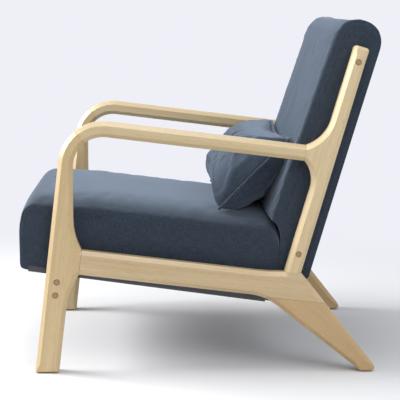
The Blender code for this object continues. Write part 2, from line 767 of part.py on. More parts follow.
def back_outline(inset, crown):
    """The back's section, from its rear lower edge up, over the top and down round the seat's edge."""
    top = BACK_LENGTH - inset - BACK_TOP_FALL * crown
    rear_low = Vector((-inset, inset))
    rear_high = Vector((-inset, top))
    front_high = Vector((inset - BACK_TOP_DEPTH - BACK_CROWN * crown, top))
    touch = BACK_TOUCH_SIDE + (BACK_TOUCH_MIDDLE - BACK_TOUCH_SIDE) * crown - inset / SEAT_REAR_ROUND
    shares = [step / NOTCH_STEPS for step in range(NOTCH_STEPS + 1)]
    around = [seat_edge(touch * (1 - share), SOFT_GAP + inset) for share in shares]
    notch = [to_back(point) for point in around]
    down = to_back(around[-1] - Vector((0.0, 1.0))) - notch[-1]
    foot = meet(notch[-1], down, rear_low, Vector((1.0, 0.0)))
    corners = [(*rear_low, 0.0, 0)]
    corners += plain_corners(rear_low, rear_high, 3)
    corners.append((*rear_high, BACK_REAR_ROUND - inset, CUSHION_STEPS))
    corners.append((*front_high, BACK_FRONT_ROUND - inset, CUSHION_STEPS))
    corners += plain_corners(front_high, notch[0], 3)
    corners += [(*point, 0.0, 0) for point in notch]
    corners.append((*foot, 0.0, 0))
    return rounded_outline(corners)


def back_draw_in(point):
    return math.sin(math.pi * min(max(point.y / BACK_LENGTH, 0.0), 1.0))


def cushion_mesh(name, outline, draw_in, inset, fractions):
    """A crowned cushion, inset all round for its lining or filling."""
    rings = []
    for fraction in [-part for part in reversed(fractions[1:])] + list(fractions):
        crown = (1 - abs(fraction) ** CROWN_POWER) ** CROWN_FULLNESS
        ring = []
        for point in outline(inset, crown):
            half = CUSHION_HALF - inset - CUSHION_DRAW_IN * draw_in(point)
            ring.append(Vector((fraction * half, point.x, point.y)))
        rings.append(ring)
    bm = bmesh.new()
    bmesh.ops.poke(bm, faces=skin(bm, rings))
    return finished(name, bm)


# Pillow


def pillow_outline():
    """The pillow's seam, clockwise from its lower right corner as the sitter sees it; (across, up)."""
    half = PILLOW_WIDTH / 2
    ends = ((-half, 0.0), (-half, PILLOW_HEIGHT), (half, PILLOW_HEIGHT), (half, 0.0))
    corners = [Vector(end) for end in ends]
    arcs = []
    for i, corner in enumerate(corners):
        following = corners[(i + 1) % 4]
        arcs.append(rounded_corner(corners[i - 1], corner, following, PILLOW_CORNER, PILLOW_CORNER_STEPS))
    points = []
    for i, arc in enumerate(arcs):
        points += arc
        run = arcs[(i + 1) % 4][0] - arc[-1]
        inward = Vector((run.y, -run.x)).normalized()
        pull = (PILLOW_DRAW_IN, PILLOW_TOP_DRAW_IN, PILLOW_DRAW_IN, 0.0)[i]
        for step in range(1, PILLOW_SIDE_POINTS):
            share = step / PILLOW_SIDE_POINTS
            points.append(arc[-1] + run * share + inward * (pull * math.sin(math.pi * share)))
    return points


def swell(depth, share):
    """The pillow's half thickness at a share of the way from its middle to its seam."""
    return depth * (1 - share**PILLOW_FULLNESS) ** PILLOW_STEEPNESS


def settled(up):
    """How much fuller the pillow is at this height; its filling settles."""
    return 1 + PILLOW_SETTLE * math.cos(math.pi * up / PILLOW_HEIGHT)


def pillow_room(up):
    """How far the pillow's rear can swell at this height before it lies on the seat or the back."""
    seat = [to_pillow(to_chair(along, SEAT_TOP)) for along in (PILLOW_ALONG, SEAT_REAR)]
    touch = to_pillow(to_chair(*seat_edge(BACK_TOUCH_MIDDLE)))
    crest = to_pillow(from_back(-BACK_TOP_DEPTH - BACK_CROWN, BACK_LENGTH - BACK_TOP_FALL))
    here = Vector((0.0, up))
    level = Vector((1.0, 0.0))
    on_seat = meet(here, level, seat[0], seat[1] - seat[0]).x
    on_back = meet(here, level, touch, crest - touch).x
    return min(on_seat, on_back) - PILLOW_REST_GAP


def pillow_mesh(name, inset, thinner, shares, piped):
    """A pillow inset from its seam; piped adds the rounded piping along the seam."""
    outline = pillow_outline()
    loop = inset_loop(outline, [inset] * len(outline))
    middle = Vector((0.0, PILLOW_HEIGHT / 2))
    rim = []
    if piped:
        for turn in (0.0, math.radians(60), math.radians(120)):
            rim.append((PIPING_RADIUS * (1 - math.cos(turn)), PIPING_RADIUS * math.sin(turn)))
        rim.append((inset, PIPING_GROOVE / 2))
    else:
        rim.append((inset, 0.0))
    halves = []
    for facing, depth in ((-1, PILLOW_FRONT_DEPTH), (1, PILLOW_REAR_DEPTH)):
        rings = []
        for distance, depth_here in rim:
            moved = inset_loop(outline, [distance] * len(outline))
            rings.append([Vector((point.x, facing * depth_here, point.y)) for point in moved])
        for share in shares:
            free = swell(depth - thinner, share)
            ring = []
            for point in loop:
                moved = middle + (point - middle) * share
                out = free * settled(moved.y)
                if facing > 0:
                    out = min(out, pillow_room(moved.y) - thinner)
                ring.append(Vector((moved.x, facing * out, moved.y)))
            rings.append(ring)
        halves.append(rings)
    bm = bmesh.new()
    bmesh.ops.poke(bm, faces=skin(bm, list(reversed(halves[0])) + halves[1][1:]))
    bmesh.ops.triangulate(bm, faces=bm.faces, quad_method="FIXED")
    return finished(name, bm)


def slider_mesh():
    """The zip's slider: a channel over the piping."""
    inner = PIPING_RADIUS + FIT_GAP
    outer = inner + ZIP_SLIDER_WALL
    floor = FIT_GAP + ZIP_SLIDER_WALL
    section = (
        (-outer, ZIP_SLIDER_REACH),
        (-outer, -floor),
        (outer, -floor),
        (outer, ZIP_SLIDER_REACH),
        (inner, ZIP_SLIDER_REACH),
        (inner, -FIT_GAP),
        (-inner, -FIT_GAP),
        (-inner, ZIP_SLIDER_REACH),
    )
    ends = (-ZIP_SLIDER_LENGTH / 2, ZIP_SLIDER_LENGTH / 2)
    bm = bmesh.new()
    skin(bm, [[Vector((end, depth, up)) for depth, up in section] for end in ends])
    return finished("zip_slider", bm)


def pull_mesh():
    """The zip's pull, lying along the seam on the slider's front."""
    face = PIPING_RADIUS + FIT_GAP + ZIP_SLIDER_WALL
    end = -ZIP_SLIDER_LENGTH / 2
    low = (end - ZIP_PULL_LENGTH, -face - ZIP_PULL_THICKNESS, -ZIP_PULL_WIDTH / 2)
    high = (end + ZIP_SLIDER_LENGTH / 2, -face + ZIP_SLIDER_WALL / 3, ZIP_PULL_WIDTH / 2)
    return box("zip_pull", low, high)


# The chair


def build_side_frames(plane, back_plane, finishes):
    """The two glued frames of five pieces, their loose tenons, and the bolts that hold everything."""
    board = side_frame_mesh()
    keys = tenons()
    stretcher_reach = FRAME_THICKNESS + GLUE_GAP + BOLT_GRIP
    back_reach = CHAIR_WIDTH / 2 - FRAME_HALF + BOLT_GRIP
    spacing = STRETCHER_BOLT_SPACING
    stretcher_spots = {
        "stretcher_upper": (STRETCHER_BOLT_ALONG, STRETCHER_BOLT_UPPER),
        "stretcher_lower": (STRETCHER_BOLT_ALONG, STRETCHER_BOLT_UPPER - spacing),
    }
    back_spots = {
        "back_lower": (-BACK_BOLT_DEPTH, BACK_BOLT_LOWER),
        "back_upper": (-BACK_BOLT_DEPTH, BACK_BOLT_UPPER),
    }
    regions = {}
    for name, corners in frame_regions().items():
        regions[name] = cutter(f"{name}_region", region_mesh(f"{name}_region", corners), plane)
    pockets = {}
    for name, tenon in keys.items():
        pockets[name] = cutter(f"{name}_pockets", pocket_mesh(f"{name}_pockets", tenon), plane)
    stretcher_mesh = holes_mesh("stretcher_holes", stretcher_spots.values(), stretcher_reach)
    stretcher_holes = cutter("stretcher_holes", stretcher_mesh, plane)
    back_mesh = holes_mesh("back_holes", back_spots.values(), back_reach)
    back_holes = cutter("back_holes", back_mesh, back_plane)
    for label, side in SIDES:
        for name, region in regions.items():
            piece = place(f"{label}_{name}", board, plane, finishes["wood"], (side * FRAME_MIDDLE, 0, 0))
            cut(piece, region, "INTERSECT")
            for key, tenon in keys.items():
                if name in tenon[3]:
                    cut(piece, pockets[key])
            if name == "front_leg":
                cut(piece, stretcher_holes)
            if name == "back_post":
                cut(piece, back_holes)
        for name, tenon in keys.items():
            bm = bmesh.new()
            add_tenon(bm, tenon, side * FRAME_MIDDLE)
            place(f"{label}_{name}", finished(name, bm), plane, finishes["tenon"])
        runs = ((stretcher_spots, plane, stretcher_reach), (back_spots, back_plane, back_reach))
        for spots, parent, reach in runs:
            for name, (along, up) in spots.items():
                bm = bmesh.new()
                add_bolt(bm, side, along, up, reach)
                place(f"{label}_{name}_bolt", finished("bolt", bm), parent, finishes["steel"])
                bm = bmesh.new()
                add_plug(bm, side, along, up)
                place(f"{label}_{name}_plug", finished("plug", bm), parent, finishes["plug"])
    return stretcher_holes, back_holes


def build_stretcher(plane, holes, finishes):
    """The rail between the front legs, that the seat's front rests on."""
    rear = STRETCHER_BOLT_ALONG + STRETCHER_THICKNESS / 2
    top = seat_base(rear) - DUST_COVER_THICKNESS - 2 * GLUE_GAP
    half = FRAME_INNER - GLUE_GAP
    low = (-half, rear - STRETCHER_THICKNESS, top - STRETCHER_HEIGHT)
    mesh = box("front_stretcher", low, (half, rear, top), STRETCHER_ROUND)
    cut(place("front_stretcher", mesh, plane, finishes["wood"]), holes)


def build_glides(chair, finishes):
    """The pads that the chair stands on."""
    toe, heel = rear_foot()
    heel_end = rounded_corner(post_foot()[1], heel, toe, HEEL_ROUND)[-1]
    front = (foot_corner(LEG_FRONT) + foot_corner(LEG_FRONT + LEG_FOOT_WIDTH)) / 2
    radius = GLIDE_DIAMETER / 2
    soft = GLIDE_HEIGHT / 3
    profile = ((0.0, radius - soft), (soft, radius), (GLIDE_HEIGHT, radius))
    for label, side in SIDES:
        for name, spot in (("front", front), ("rear", (toe + heel_end) / 2)):
            middle = to_chair(spot.x, spot.y)[0]
            bm = bmesh.new()
            add_turned(bm, profile, (side * FRAME_MIDDLE, middle, 0.0), (0.0, 0.0, 1.0))
            place(f"{label}_{name}_glide", finished("glide", bm), chair, finishes["glide"])


def build_seat(plane, base_plane, finishes):
    """The seat: cover, foam, a glued frame, webbing and a dust cover; it returns the bolt holes."""
    front = SEAT_FRONT + SEAT_FRAME_SETBACK
    rear = SEAT_REAR - SEAT_FRAME_REAR_GAP
    thick = SEAT_RAIL_THICKNESS
    top = FRAME_LIFT + SEAT_RAIL_HEIGHT
    rear_top = FRAME_LIFT + SEAT_REAR_RAIL_HEIGHT
    strap_low = top + GLUE_GAP
    strap_high = strap_low + WEBBING_THICKNESS
    inner = FRAME_HALF - thick
    open_half = CUSHION_HALF - CUSHION_DRAW_IN - COVER_TURN_UNDER
    open_front = SEAT_FRONT + COVER_TURN_UNDER
    open_rear = SEAT_REAR - COVER_TURN_UNDER

    lining = cushion_mesh("seat_lining", seat_outline, seat_draw_in, COVER_WALL, CAVITY_STATIONS)
    lining = cutter("seat_lining", lining, plane)
    low = (-open_half, open_front, -COVER_TURN_UNDER)
    opening = box("seat_opening", low, (open_half, open_rear, COVER_WALL * 1.5))
    opening = cutter("seat_opening", opening, base_plane)
    low = (-FRAME_HALF - SOFT_GAP, front - SOFT_GAP, -COVER_TURN_UNDER)
    high = (FRAME_HALF + SOFT_GAP, rear + SOFT_GAP, strap_high + SOFT_GAP)
    frame_room = cutter("seat_frame_room", box("seat_frame_room", low, high), base_plane)
    low = (-FRAME_HALF - SOFT_GAP, rear - thick - SOFT_GAP, -COVER_TURN_UNDER)
    high = (FRAME_HALF + SOFT_GAP, rear + SOFT_GAP, rear_top + SOFT_GAP)
    rear_room = cutter("seat_rear_rail_room", box("seat_rear_rail_room", low, high), base_plane)
    bolt_start = rear - thick
    bm = bmesh.new()
    for _, side in SIDES:
        profile = (
            (-BOLT_HEAD_HEIGHT - GLUE_GAP - SOFT_GAP, BOLT_HEAD_DIAMETER / 2 + SOFT_GAP),
            (-GLUE_GAP / 2, BOLT_HEAD_DIAMETER / 2 + SOFT_GAP),
            (-GLUE_GAP / 2, BOLT_DIAMETER / 2 + FIT_GAP),
            (SEAT_BACK_BOLT_LENGTH + FIT_GAP, BOLT_DIAMETER / 2 + FIT_GAP),
        )
        start = (side * SEAT_BACK_BOLT_SPREAD, bolt_start, SEAT_BACK_BOLT_UP)
        add_turned(bm, profile, start, (0.0, 1.0, 0.0))
    holes = cutter("seat_back_holes", finished("seat_back_holes", bm), base_plane)

    cover = cushion_mesh("seat_cover", seat_outline, seat_draw_in, 0.0, STATIONS)
    cover = place("seat_cover", cover, plane, finishes["fabric"])
    foam = cushion_mesh("seat_foam", seat_outline, seat_draw_in, FOAM_INSET, CAVITY_STATIONS)
    foam = place("seat_foam", foam, plane, finishes["foam"])
    rails = {
        "seat_front_rail": ((-FRAME_HALF, front, FRAME_LIFT), (FRAME_HALF, front + thick, top)),
        "seat_rear_rail": ((-FRAME_HALF, rear - thick, FRAME_LIFT), (FRAME_HALF, rear, rear_top)),
    }
    side_front = front + thick + GLUE_GAP
    side_rear = rear - thick - GLUE_GAP
    for label, side in SIDES:
        edges = sorted((side * inner, side * FRAME_HALF))
        low = (edges[0], side_front, FRAME_LIFT)
        rails[f"seat_{label}_rail"] = (low, (edges[1], side_rear, top))
    for name, (low, high) in rails.items():
        rail = place(name, box(name, low, high), base_plane, finishes["frame"])
        if name == "seat_rear_rail":
            cut(rail, holes)
    for tool in (lining, opening, holes):
        cut(cover, tool)
    for tool in (frame_room, rear_room, holes):
        cut(foam, tool)
    spare = (side_rear - side_front - 2 * WEBBING_WIDTH) / 3
    reach = inner + WEBBING_LAP
    for index, name in enumerate(("seat_webbing_front", "seat_webbing_rear")):
        start = side_front + spare + index * (WEBBING_WIDTH + spare)
        low = (-reach, start, strap_low)
        mesh = box(name, low, (reach, start + WEBBING_WIDTH, strap_high))
        place(name, mesh, base_plane, finishes["webbing"])
    half = open_half + DUST_COVER_LAP
    low = (-half, open_front - DUST_COVER_LAP, -GLUE_GAP - DUST_COVER_THICKNESS)
    high = (half, open_rear + DUST_COVER_LAP, -GLUE_GAP)
    sheet = box("seat_dust_cover", low, high)
    place("seat_dust_cover", sheet, base_plane, finishes["dust"])
    for label, side in SIDES:
        profile = (
            (-BOLT_HEAD_HEIGHT - GLUE_GAP, BOLT_HEAD_DIAMETER / 2),
            (-GLUE_GAP, BOLT_HEAD_DIAMETER / 2),
            (-GLUE_GAP, BOLT_DIAMETER / 2),
            (SEAT_BACK_BOLT_LENGTH, BOLT_DIAMETER / 2),
        )
        start = (side * SEAT_BACK_BOLT_SPREAD, bolt_start, SEAT_BACK_BOLT_UP)
        bm = bmesh.new()
        add_turned(bm, profile, start, (0.0, 1.0, 0.0))
        place(f"{label}_seat_back_bolt", finished("bolt", bm), base_plane, finishes["steel"])
    return holes


def build_back(plane, bolt_holes, seat_holes, finishes):
    """The back: cover, foam round a glued frame, and the panel that closes its rear."""
    rear = -FRAME_LIFT
    front = rear - BACK_UPRIGHT_DEPTH
    inner = FRAME_HALF - BACK_UPRIGHT_THICKNESS
    rail_half = inner - GLUE_GAP
    low_rail = BACK_FRAME_BOTTOM + FRAME_LIFT
    open_half = CUSHION_HALF - CUSHION_DRAW_IN - COVER_TURN_UNDER
    open_top = BACK_LENGTH - BACK_REAR_ROUND - COVER_TURN_UNDER

    lining = cushion_mesh("back_lining", back_outline, back_draw_in, COVER_WALL, CAVITY_STATIONS)
    lining = cutter("back_lining", lining, plane)
    low = (-open_half, -COVER_WALL * 1.5, COVER_TURN_UNDER)
    opening = box("back_opening", low, (open_half, COVER_TURN_UNDER, open_top))
    opening = cutter("back_opening", opening, plane)

    members = {
        "back_top_rail": (
            (-rail_half, front, BACK_FRAME_TOP - BACK_RAIL_HEIGHT),
            (rail_half, rear, BACK_FRAME_TOP),
        ),
        "back_bottom_rail": (
            (-rail_half, front, low_rail),
            (rail_half, rear, low_rail + BACK_RAIL_HEIGHT),
        ),
    }
    for label, side in SIDES:
        edges = sorted((side * inner, side * FRAME_HALF))
        low = (edges[0], front, low_rail)
        members[f"back_{label}_upright"] = (low, (edges[1], rear, BACK_FRAME_TOP))

    cover = cushion_mesh("back_cover", back_outline, back_draw_in, 0.0, STATIONS)
    cover = place("back_cover", cover, plane, finishes["fabric"])
    for tool in (lining, opening, bolt_holes, seat_holes):
        cut(cover, tool)
    foam = cushion_mesh("back_foam", back_outline, back_draw_in, FOAM_INSET, CAVITY_STATIONS)
    foam = place("back_foam", foam, plane, finishes["foam"])
    for name, (low, high) in members.items():
        piece = place(name, box(name, low, high), plane, finishes["frame"])
        if name.endswith("upright"):
            cut(piece, bolt_holes)
        if name == "back_bottom_rail":
            cut(piece, seat_holes)
        room_low = [value - SOFT_GAP for value in low]
        room_high = [value + SOFT_GAP for value in high]
        room_high[1] = COVER_TURN_UNDER
        room = cutter(f"{name}_room", box(f"{name}_room", room_low, room_high), plane)
        cut(foam, room)
    for tool in (bolt_holes, seat_holes):
        cut(foam, tool)
    low = (SOFT_GAP - open_half, -COVER_WALL, COVER_TURN_UNDER + SOFT_GAP)
    high = (open_half - SOFT_GAP, 0.0, open_top - SOFT_GAP)
    place("back_panel", box("back_panel", low, high), plane, finishes["panel"])


def build_pillow(plane, finishes):
    """The loose pillow: a piped cover with a zip along its lower seam, its filling and the slider."""
    seam = PILLOW_SEAM
    lining = pillow_mesh("pillow_lining", seam, PILLOW_WALL, CAVITY_RINGS, False)
    lining = cutter("pillow_lining", lining, plane)
    half = ZIP_LENGTH / 2
    low = (-half, -ZIP_SLOT / 2, -PILLOW_SEAM)
    slot = cutter("zip_slot", box("zip_slot", low, (half, ZIP_SLOT / 2, PILLOW_SEAM * 1.5)), plane)
    mesh = pillow_mesh("pillow_cover", PIPING_INSET, 0.0, PILLOW_RINGS, True)
    cover = place("pillow_cover", mesh, plane, finishes["fabric"])
    cut(cover, lining)
    cut(cover, slot)
    mesh = pillow_mesh("pillow_fill", seam + FILL_GAP, PILLOW_WALL + FILL_GAP, CAVITY_RINGS, False)
    place("pillow_fill", mesh, plane, finishes["fill"])
    parked = empty("zip_parked", plane, (ZIP_SLIDER_LENGTH - half, 0.0, 0.0), 0.0)
    slider = place("zip_slider", slider_mesh(), parked, finishes["zip"])
    cut(slider, cutter("zip_pull", pull_mesh(), parked), "UNION")


def main():
    clear_scene()
    finishes = {
        "wood": material("wood", (0.62, 0.47, 0.27), 0.45),
        "plug": material("plug_wood", (0.42, 0.26, 0.14), 0.5),
        "tenon": material("tenon_wood", (0.55, 0.42, 0.26), 0.6),
        "frame": material("frame_timber", (0.52, 0.38, 0.22), 0.7),
        "steel": material("steel", (0.55, 0.56, 0.58), 0.35, 1.0),
        "glide": material("glide_plastic", (0.05, 0.05, 0.05), 0.5),
        "fabric": material("fabric", (0.075, 0.095, 0.125), 0.9),
        "foam": material("foam", (0.80, 0.76, 0.62), 0.95),
        "webbing": material("webbing", (0.20, 0.17, 0.13), 0.9),
        "dust": material("dust_cloth", (0.015, 0.015, 0.016), 0.95),
        "panel": material("back_panel_fabric", (0.075, 0.095, 0.125), 0.9),
        "fill": material("fibre_fill", (0.85, 0.85, 0.83), 0.95),
        "zip": material("zip_metal", (0.45, 0.43, 0.40), 0.3, 1.0),
    }
    chair = empty("chair", None, (0.0, CENTRING, 0.0), 0.0)
    plane = empty("tilted_plane", chair, (0.0, 0.0, FRAME_HEIGHT), FRAME_TILT)
    base_at = to_chair(0.0, seat_base(0.0))
    base_plane = empty("seat_base_plane", chair, (0.0, *base_at), FRAME_TILT + SEAT_BASE_TURN)
    back_at = to_chair(BACK_ALONG, BACK_UP)
    back_plane = empty("back_plane", chair, (0.0, *back_at), BACK_LEAN)
    pillow_at = to_chair(PILLOW_ALONG, SEAT_TOP + PILLOW_STAND)
    pillow_plane = empty("pillow_plane", chair, (0.0, *pillow_at), PILLOW_LEAN)
    stretcher_holes, back_holes = build_side_frames(plane, back_plane, finishes)
    build_stretcher(plane, stretcher_holes, finishes)
    build_glides(chair, finishes)
    seat_holes = build_seat(plane, base_plane, finishes)
    build_back(back_plane, back_holes, seat_holes, finishes)
    build_pillow(pillow_plane, finishes)


main()
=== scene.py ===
"""Dresses the lounge chair: lacquered wood, sewn upholstery, a piped lumbar pillow, and the stage.

Metres, +Z up. The chair faces -Y and the sitter's left hand is at +X.
"""

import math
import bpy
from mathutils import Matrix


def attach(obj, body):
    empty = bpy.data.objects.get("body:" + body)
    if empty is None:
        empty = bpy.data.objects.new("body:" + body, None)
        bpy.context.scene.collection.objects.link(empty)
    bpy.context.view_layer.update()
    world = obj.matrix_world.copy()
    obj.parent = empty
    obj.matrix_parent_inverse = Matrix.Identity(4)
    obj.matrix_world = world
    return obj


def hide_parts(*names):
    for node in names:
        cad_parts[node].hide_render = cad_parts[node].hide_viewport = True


bl_info = {
    "name": "Lounge Chair",
    "version": (1, 0, 0),
    "blender": (4, 5, 0),
    "location": "View3D > Sidebar > Lounge Chair",
    "description": "Dresses a wooden lounge chair with its upholstery, pillow and finishes",
    "category": "Add Mesh",
}

import bmesh
import bpy
import numpy as np
from bpy.props import FloatProperty, FloatVectorProperty, IntProperty, PointerProperty
from mathutils import Matrix, Vector, noise
from mathutils.kdtree import KDTree

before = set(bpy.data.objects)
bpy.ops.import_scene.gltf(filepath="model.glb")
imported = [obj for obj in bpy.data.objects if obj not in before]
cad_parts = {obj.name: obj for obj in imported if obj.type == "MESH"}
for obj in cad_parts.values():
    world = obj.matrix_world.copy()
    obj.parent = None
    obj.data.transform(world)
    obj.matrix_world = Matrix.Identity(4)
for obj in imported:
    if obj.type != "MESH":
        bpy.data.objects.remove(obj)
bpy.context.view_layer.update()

SIDES = ("left", "right")
WEAVE_MAP = "weave"  # the cloth's own flat coordinates, in metres
HELD_GROUP = "held"
CLOTH_FRAMES = 20
CLOTH_PRESSURE = 4.0
SEAM_CREASE = 0.85
SEAM_GROOVE = 0.0009
SEAM_COLUMNS = (0.0064, 0.0038, 0.0019, 0.0007)  # fine columns of the strip, from its seam
RIDGE_HEIGHT = 0.0017
RIDGE_WIDTH = 0.0021
RIPPLE = 0.06  # along a ridge, from one high place to the next
PANEL_SWELL = 0.0010
PILLOW_STEPS = 60
CORNER_POWER = 10  # higher keeps the drop of a pillow corner nearer to its tip
EASE_LINES = (0.0185, 0.0250)  # fine lines round the top of a side panel of the back, from its seam
EASE_WIDTH = 0.0016
LIGHT_AIM = Vector((0, 0, 0.35))


# Settings


def length(label, value, note):
    """A size in metres that a user may change."""
    return FloatProperty(name=label, description=note, default=value, subtype="DISTANCE", precision=4)


def angle(label, degrees, note):
    """An angle that a user may change."""
    return FloatProperty(name=label, description=note, default=math.radians(degrees), subtype="ANGLE")


def amount(label, value, note):
    """A plain number that a user may change."""
    return FloatProperty(name=label, description=note, default=value, precision=3)


def power(label, value, note):
    """The power of a light that a user may change."""
    return FloatProperty(name=label, description=note, default=value, unit="POWER")


def tint(label, value, note):
    """A colour that a user may change, in linear light."""
    return FloatVectorProperty(
        name=label, description=note, default=value, size=3, subtype="COLOR", min=0, max=1
    )


class FabricSettings(bpy.types.PropertyGroup):
    """The upholstery fabric."""

    deep: tint("Deep thread", (0.0195, 0.0275, 0.0420), "Colour of the threads in shade")
    pale: tint("Pale thread", (0.040, 0.0535, 0.0755), "Colour of the raised threads")
    sheen: tint("Sheen", (0.52, 0.63, 0.78), "Colour of the soft nap seen at a low angle")
    sheen_weight: amount("Sheen weight", 0.56, "How strongly the nap shows")
    sheen_spread: amount("Sheen roughness", 0.45, "How far the nap's glow spreads")
    thread: length("Thread pitch", 0.0011, "Distance from one thread to the next")


class WoodSettings(bpy.types.PropertyGroup):
    """The lacquered side frames."""

    pale: tint("Pale wood", (0.75, 0.60, 0.365), "Early wood")
    deep: tint("Deep wood", (0.60, 0.44, 0.235), "Late wood and grain lines")
    pore: tint("Pores", (0.36, 0.225, 0.10), "Short dark pores")
    plug: tint("Plug", (0.25, 0.150, 0.070), "End grain of the bolt plugs")
    # The plug rim colour is painted shade in the gap round a plug.
    plug_rim_shade: tint("Plug rim", (0.060, 0.035, 0.016), "Painted shade in the gap round a plug")
    arris: length("Arris", 0.0005, "Softening of every sharp edge")


class ChairSettings(bpy.types.PropertyGroup):
    """How the parts of the chair stand."""

    tilt: angle("Seat tilt", 6.8, "How far the seat and side frames fall to the rear")
    height: length("Plane height", 0.1757, "Height of the tilted plane's origin")
    centring: length("Centring", 0.0025, "Moves the middle of the chair's depth over the origin")
    half: length("Half width", 0.286, "Half the width of the upholstery")
    draw_in: length("Draw-in", 0.0040, "How far a side panel pulls in between its ends")
    crown_power: IntProperty(
        name="Crown power", description="Higher keeps the crown flat further out", default=6
    )
    crown_fullness: amount("Crown fullness", 0.7, "Lower makes the crown roll over more steeply to the seams")
    cell: length("Cloth cell", 0.0095, "Size of the cloth's cells before they are divided")


class SeatSettings(bpy.types.PropertyGroup):
    """The seat cushion, in the tilted plane."""

    front: length("Front", -0.4040, "Lower front edge")
    bulge: length("Front bulge", 0.0125, "How far the front swells past that edge")
    front_crown: length("Front crown", 0.0010, "More swell at the middle of the width")
    rear: length("Rear", 0.1667, "Rear face")
    base_front: length("Base at front", 0.0065, "Underside at the front")
    base_rear: length("Base at rear", -0.0015, "Underside at the rear")
    height: length("Side height", 0.1575, "Seam between a side panel and the top")
    crown: length("Crown", 0.0285, "Rise of the top above the seams")
    nose_round: length("Nose radius", 0.0280, "Top front edge, at a side")
    nose_round_crown: length("Nose radius, middle", 0.0080, "Added to that radius in the middle")
    nose_fall: length("Nose fall", 0.0060, "How far the top falls to its front edge")
    nose_length: length("Nose length", 0.1400, "Over which it falls")
    lower_round: length("Lower radius", 0.0100, "Lower front edge")
    rear_round: length("Rear radius", 0.0500, "Top rear edge")
    ridge: length("Ridge", 0.0075, "From the side seam to the ridge over its turned-in edges")
    swell: length("Swell", 0.0016, "Most that the cloth moves as it fills")
    dust_setback: length("Dust cover setback", 0.0180, "Its ends inside the seat's front and rear")
    dust_lip: length("Dust cover lip", 0.0140, "How far it turns up at a side")
    dust_drop: length("Dust cover drop", 0.0040, "How far it hangs below the seat")
    dust_sag: length("Dust cover sag", 0.0040, "How much lower its middle hangs")


class BackSettings(bpy.types.PropertyGroup):
    """The back cushion."""

    along: length("Foot along", 0.2384, "Rear lower edge, in the tilted plane")
    up: length("Foot up", 0.0579, "Rear lower edge, above the tilted plane")
    lean: angle("Lean", 16.43, "From vertical")
    tall: length("Length", 0.5845, "Up the back")
    depth: length("Top depth", 0.0980, "Depth at the side seams")
    crown: length("Crown", 0.0150, "How far the front swells in the middle")
    top_fall: length("Top fall", 0.0045, "How much lower the top is in the middle")
    front_round: length("Front radius", 0.0480, "Top front edge")
    rear_round: length("Rear radius", 0.0480, "Top rear edge")
    touch_side: angle("Touch at side", 62, "Where the front lands round the seat's rear edge, at a side")
    touch_middle: angle("Touch in middle", 75, "Where it lands in the middle")
    gap: length("Gap", 0.0005, "Between the back and the seat")
    panel_half: length("Panel half width", 0.2515, "Half the width of the panel that closes the rear")
    panel_low: length("Panel foot", 0.0305, "Lower edge of that panel")
    panel_high: length("Panel top", 0.5060, "Upper edge of that panel")
    panel_dome: length("Panel dome", 0.0030, "How far that panel swells")
    welt: length("Welt radius", 0.0022, "Of the cord round that panel")
    ridge: length("Ridge", 0.0118, "From the side seam to the ridge over its turned-in edges")
    swell: length("Swell", 0.0016, "Most that the cloth moves as it fills")


class PillowSettings(bpy.types.PropertyGroup):
    """The lumbar pillow."""

    along: length("Along", 0.0255, "Middle of the lower seam, in the tilted plane")
    stand: length("Stand", 0.0044, "Lower seam above the middle of the seat")
    lean: angle("Lean", 45, "From vertical")
    width: length("Width", 0.5000, "Along the seam")
    tall: length("Height", 0.2180, "From lower to upper seam")
    front_depth: length("Front depth", 0.0740, "From the seam to the front panel's middle")
    rear_depth: length("Rear depth", 0.0700, "The same to the rear, where nothing presses it flat")
    rest_gap: length("Rest gap", 0.0008, "Between its flattened rear and what it rests on")
    settle: amount("Settle", -0.07, "Share by which its foot is fuller than its middle; below 0, thinner")
    corner: length("Corner radius", 0.0140, "Of the seam")
    corner_drop: length("Corner drop", 0.0125, "How far a lower corner hangs over the seat's roll")
    draw_in: length("Draw-in", 0.0070, "How far an end pulls in between corners")
    top_draw_in: length("Top draw-in", 0.0140, "How far the top pulls in between corners")
    fullness: amount("Fullness", 3.2, "Higher keeps the pillow thick further out")
    steepness: amount("Steepness", 0.52, "Lower leaves the seam more steeply")
    zip_length: length("Zip length", 0.4400, "Along the lower seam")
    tooth: length("Zip tooth", 0.0020, "Pitch of the zip's teeth")
    piping: length("Piping radius", 0.0025, "Of the cord in the seam")
    pinch: amount("Pinch", 2.2, "Slope of the panels where they meet in the seam")
    foot_pinch: amount("Foot pinch", 1.2, "Share by which that slope is steeper along the lower seam")
    top_slope: amount("Top slope", 1.0, "Slope of the front panel below the upper seam, which lies level")
    overhang: length("Overhang", 0.0060, "How far the pressed rear swells past the seam at an end")
    cord: length("Cord radius", 0.0036, "Of the piping beyond the zip, where its cover is thicker")
    gather: length("Gathers", 0.0016, "Depth of the folds above the zip")
    cell: length("Cloth cell", 0.0062, "Size of the cloth's cells before they are divided")
    slack: amount("Slack", 0.025, "How much larger the cloth is than the form")


